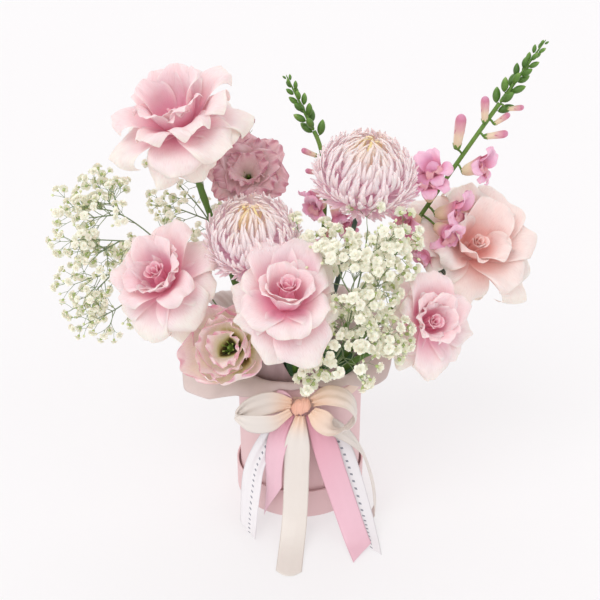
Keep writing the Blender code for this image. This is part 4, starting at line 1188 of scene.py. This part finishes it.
def collar_sheet(name, node, edge, look, seed):
    """A creased sheet from inside the box over its rim to its edge: (degrees, radius, height)."""
    rng = np.random.RandomState(seed)
    rows, columns = 44, 120
    u = np.linspace(0, 1, columns)
    ends = cornered(edge, u, 0.012)
    turn = np.radians(ends[:, 0])
    count = len(edge)
    knots = np.linspace(0, 1, 2 * count - 1)
    crease = np.interp(u, knots, [(-1) ** k * rng.uniform(0.5, 1.0) for k in range(2 * count - 1)])
    small = np.interp(u, np.linspace(0, 1, 23), rng.uniform(-1, 1, 23))
    v = np.linspace(0, 1, rows)[:, None]
    along = np.clip(v / 0.25, 0, 1)
    r_in = PAPER_INSIDE + (RIM_RADIUS - PAPER_INSIDE) * along ** 2
    z_in = PAPER_LOW + (RIM_HEIGHT - PAPER_LOW) * along
    out = np.clip((v - 0.25) / 0.75, 0, 1)
    radius, height = ends[:, 1] * 0.001, ends[:, 2] * 0.001
    distance = np.hypot(radius - RIM_RADIUS, height - RIM_HEIGHT)
    lift = 0.010 + 0.20 * distance
    r_mid, z_mid = (RIM_RADIUS + radius) / 2, (RIM_HEIGHT + height) / 2 + lift
    r_out = RIM_RADIUS * (1 - out) ** 2 + r_mid * 2 * out * (1 - out) + radius * out ** 2
    z_out = RIM_HEIGHT * (1 - out) ** 2 + z_mid * 2 * out * (1 - out) + height * out ** 2
    r = np.where(v < 0.25, r_in + 0 * radius, r_out)
    z = np.where(v < 0.25, z_in + 0 * height, z_out)
    spread = smooth(out, 0.05, 0.9) * np.clip(distance / 0.05, 0.3, 1.0)
    z = z + (0.0042 * crease + 0.0012 * small) * spread
    r = r + 0.0020 * crease * spread * np.sin(out * math.pi)
    points = np.stack([r * np.cos(turn), r * np.sin(turn), z], -1)
    paper_piece(name, points, look, node)


def inner_fold(look):
    """The paper's inner layer: it stands up inside the front of the rim, creased and uneven, in a darker
    copy of the pearl paper that paints its shade.
    """
    rng = np.random.RandomState(21)
    top = [(-152, 67, 190), (-132, 68, 204), (-116, 69, 201), (-107, 68, 205), (-99, 66, 184),
           (-84, 68, 205), (-66, 68, 198), (-50, 69, 192), (-42, 68, 184)]
    rows, columns = 24, 110
    u = np.linspace(0, 1, columns)
    ends = cornered(top, u, 0.012)
    turn = np.radians(ends[:, 0])
    v = np.linspace(0, 1, rows)[:, None]
    crease = [(-1) ** k * rng.uniform(0.3, 1.0) for k in range(11)]
    crease = np.interp(u, np.linspace(0, 1, 11), crease)
    r = 0.0665 + (ends[:, 1] * 0.001 - 0.0675) * v + 0.0030 * crease * np.sin(v * math.pi * 0.8)
    z = 0.174 + (ends[:, 2] * 0.001 - 0.174) * v
    points = np.stack([r * np.cos(turn), r * np.sin(turn), z], -1)
    paper_piece("collar_inner_fold", points, look)


def collar(look, shaded):
    left = [(-84, 80, 180), (-106, 84, 178), (-134, 104, 165), (-162, 143, 155), (-179, 140, 204),
            (-190, 126, 238)]
    right = [(-100, 78, 177), (-78, 82, 182), (-54, 92, 180), (-16, 107, 162), (0, 112, 190),
             (10, 112, 206)]
    back_left = [(168, 124, 240), (148, 118, 232), (125, 112, 236), (92, 106, 228)]
    back_right = [(88, 106, 228), (60, 112, 226), (35, 112, 216), (12, 110, 206)]
    sheets = {"front_left": left, "front_right": right, "back_left": back_left,
              "back_right": back_right}
    for seed, (place, edge) in enumerate(sheets.items(), 11):
        collar_sheet("collar_" + place, "paper_" + place, edge, look, seed)
    inner_fold(shaded)


def turned(name, profile, look, steps=128):
    """A turned shell from a closed profile of (radius, height), listed anticlockwise."""
    mesh = Mesh()
    mesh.grid(rings_of([*profile, profile[0]], steps), 0.5, wrap=True)
    obj = mesh.make(name, look)
    weld = obj.modifiers.new("weld", "WELD")
    weld.merge_threshold = 0.00001
    return obj


def rounded_ring(outer, inner, low, high, edge=0.0007):
    """Profile of a board tube whose four edges are a little rounded."""
    profile = []
    corners = [(outer - edge, high - edge, 90, 0), (outer - edge, low + edge, 0, -90),
               (inner + edge, low + edge, -90, -180), (inner + edge, high - edge, 180, 90)]
    for r, z, first, last in corners:
        for degrees in np.linspace(first, last, 5):
            angle = math.radians(degrees)
            profile.append((r + edge * math.cos(angle), z + edge * math.sin(angle)))
    return profile


def cover(node, material):
    """Gives a node of the frame, which stays as it is, a look."""
    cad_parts[node].data.materials.clear()
    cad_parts[node].data.materials.append(material)


def box(board):
    tube_low, tube_high = (corner.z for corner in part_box("box_tube"))
    rim_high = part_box("lid_rim")[1].z
    wall = turned("box_wall", rounded_ring(0.0750, 0.0728, tube_low, tube_high), board)
    place_piece(wall, "box", "box_paper", "box_tube")
    band = turned("lid_band", rounded_ring(0.0800, 0.0778, 0.0, rim_high), board)
    place_piece(band, "lid", "box_paper", "lid_rim")
    cover("lid_disc", board)
    cover("box_base_disc", board)


def inside():
    """Looks for the liner's thin film and the floral foam."""
    film = Look("liner_film", 0.22, Alpha=0.6)
    film.bump(film.noise(60.0, 4.0), 0.3, 0.001)
    film.colour(film.ramp(film.noise(20.0), [(0.2, (0.86, 0.88, 0.88)), (0.8, (0.92, 0.94, 0.94))]))
    sponge = Look("floral_foam", 0.9)
    grain = sponge.noise(900.0, 4.0)
    sponge.bump(grain, 0.8, 0.0015)
    sponge.colour(sponge.ramp(grain, [(0.2, (0.13, 0.27, 0.15)), (0.8, (0.28, 0.45, 0.27))]))
    cover("box_liner", film.material)
    cover("foam_block", sponge.material)


def band_round_box(cream):
    profile = rounded_ring(0.0759, 0.0753, 0.152, 0.166, 0.00025)
    obj = turned("tie_band", profile, cream, 96)
    place_piece(obj, "box", "satin_cream", "ribbon_band")


def leaf(name, node, foot, tip, side, width, look, body):
    """A toothed leaf, a little arched and keeled, from foot to tip."""
    foot, tip, side = mm(*foot), mm(*tip), unit(side)
    rise = np.cross(unit(tip - foot), side)
    v = np.linspace(0, 1, 30)[:, None]
    u = np.linspace(-1, 1, 13)[None, :]
    teeth = 1 + 0.05 * np.abs((v * 14) % 1 - 0.5)
    half = (0.0005 + width * 0.0005 * np.sin(math.pi * (0.04 + 0.92 * v)) ** 0.8) * teeth
    lift = 0.004 * np.sin(math.pi * v) - 0.004 * u ** 2 + 0.0005 * np.sin(v * 40) * np.abs(u)
    points = (foot + (tip - foot) * v[..., None] + side * (u * half)[..., None]
              + rise * (lift + 0 * u)[..., None])
    mesh = Mesh()
    mesh.grid(points, 0.35 + 0.5 * np.abs(u) + 0 * v)
    mesh.piece(name, look, 0.0005, 1, body, "green_dark", node)


# ---- floor, light, camera

FLOOR_RADIUS, WALL_ROUNDING = 30.0, 8.0


def studio():
    """A pale floor that curves up into a wall all round, a pale sky and three soft suns."""
    curve = np.radians(np.arange(15, 91, 15))
    profile = [(FLOOR_RADIUS, 0.0)]
    profile += [(FLOOR_RADIUS + WALL_ROUNDING * math.sin(a), WALL_ROUNDING * (1 - math.cos(a)))
                for a in curve]
    profile.append((FLOOR_RADIUS + WALL_ROUNDING, 2 * WALL_ROUNDING))
    around = 48
    faces = [tuple(range(around))]
    for k in range(len(profile) - 1):
        for j in range(around):
            ahead = (j + 1) % around
            faces.append((k * around + j, k * around + ahead, (k + 1) * around + ahead,
                          (k + 1) * around + j))
    mesh = bpy.data.meshes.new("floor")
    mesh.from_pydata(rings_of(profile, around).reshape(-1, 3).tolist(), [], faces)
    floor = bpy.data.objects.new("floor", mesh)
    bpy.context.scene.collection.objects.link(floor)
    look = Look("floor_pale", 0.95, Base_Color=(0.40, 0.395, 0.398, 1), Specular_IOR_Level=0.0,
                Emission_Color=(1.0, 0.982, 0.990, 1), Emission_Strength=0.535)
    mesh.materials.append(look.material)
    world = bpy.data.worlds.new("studio")
    bpy.context.scene.world = world
    world.use_nodes = True
    background = world.node_tree.nodes["Background"]
    background.inputs["Color"].default_value = (1.0, 0.985, 0.99, 1)
    background.inputs["Strength"].default_value = 0.70

    def sun(name, direction, power, spread):
        light = bpy.data.lights.new(name, "SUN")
        light.energy = power
        light.angle = math.radians(spread)
        obj = bpy.data.objects.new(name, light)
        obj.rotation_euler = Vector(direction).to_track_quat("-Z", "Y").to_euler()
        bpy.context.scene.collection.objects.link(obj)

    sun("key", (0.55, 0.80, -1.0), 1.05, 50)
    sun("fill", (-0.8, 0.7, -0.5), 0.35, 60)
    sun("back", (-0.1, -0.8, -1.0), 0.45, 40)


CAMERA_PLACE, CAMERA_LENS, LOOKING_DOWN = (0.0, -0.906, 0.667), 51.0, 24.6


def camera():
    data = bpy.data.cameras.new("camera")
    data.sensor_width = 36.0
    data.lens = CAMERA_LENS
    obj = bpy.data.objects.new("camera", data)
    obj.location = CAMERA_PLACE
    obj.rotation_euler = (math.radians(90 - LOOKING_DOWN), 0, 0)
    bpy.context.scene.collection.objects.link(obj)
    bpy.context.scene.camera = obj
    bpy.context.scene.view_settings.view_transform = "Standard"


def flowers():
    stem_green, dark_green, fresh = (green_look("stem_green"), green_look("stem_dark_green"),
                                     green_look("bud_green"))
    leaves, rose_petals = green_look("leaf_green", 0.35), petal_look("rose_petals")
    blush_petals = petal_look("blush_rose_petals")
    for number in ROSES:
        base, facing = rose(number, blush_petals if number == 5 else rose_petals)
        rose_calyx(number, base, facing, stem_green)
        stem("rose_%d" % number, base, facing, stem_green, "green_stem", (0.35, 0.7))
    leaf("leaf_front", "rose_3_leaf", (8, -75, 213), (38, -90, 216), (0.1, 0.6, 0.7), 14, leaves,
         "rose_3")
    leaf("leaf_right", "rose_5_leaf", (150, 4, 262), (162, -20, 300), (0.9, 0.2, -0.3), 16, leaves,
         "rose_5")
    mums = petal_look("mum_petals")
    mum(1, (-52, -32, 344), (-0.05, -0.42, 0.90), 48, 66, mums, dark_green)
    mum(2, (72, 0, 405), (0.10, -0.34, 0.93), 52, 68, mums, dark_green)
    for number, centre, facing, radius, height, kind in (
            (1, (-60, 46, 393), (0.0, -0.75, 0.66), 38, 40, "mauve"),
            (2, (-80, -88, 236), (-0.15, -0.85, 0.50), 42, 42, "cream")):
        look = petal_look("lisianthus_%s_petals" % kind)
        base, facing = lisianthus(number, centre, facing, radius, height, look, fresh, "petal_" + kind)
        stem("lisianthus_%d" % number, base, facing, stem_green, "green_stem", (0.5,))
    lisianthus_bud(petal_look("lisianthus_mauve_petals", "bud_petals"), stem_green)
    snap = petal_look("snapdragon_petals")
    for number in SPIKES:
        snapdragon(number, snap, fresh)
    twigs, white_flowers = green_look("spray_green"), petal_look("spray_flowers")
    for number in SPRAYS:
        spray(number, twigs, white_flowers)


def main():
    flowers()
    # the last colour of each satin is painted shade where its ribbons meet the knot
    cream = satin_look("cream_satin", (0.915, 0.89, 0.865), (0.85, 0.80, 0.76), (0.96, 0.80, 0.68))
    pink = satin_look("pink_satin", (0.93, 0.77, 0.82), (0.86, 0.66, 0.72), (0.86, 0.58, 0.65))
    white = satin_look("white_satin", (0.94, 0.93, 0.935), (0.85, 0.83, 0.85), (0.86, 0.80, 0.80),
                       dashes=True)
    peach = satin_look("peach_satin", (0.95, 0.76, 0.67), (0.88, 0.58, 0.50), (0.95, 0.76, 0.67))
    tails(cream, pink, white)
    bow(cream, peach)
    band_round_box(cream)
    collar(collar_look("pearl_paper", PEARL), collar_look("pearl_paper_painted_shade", SHADED))
    box(board_look())
    inside()
    studio()
    camera()


main()
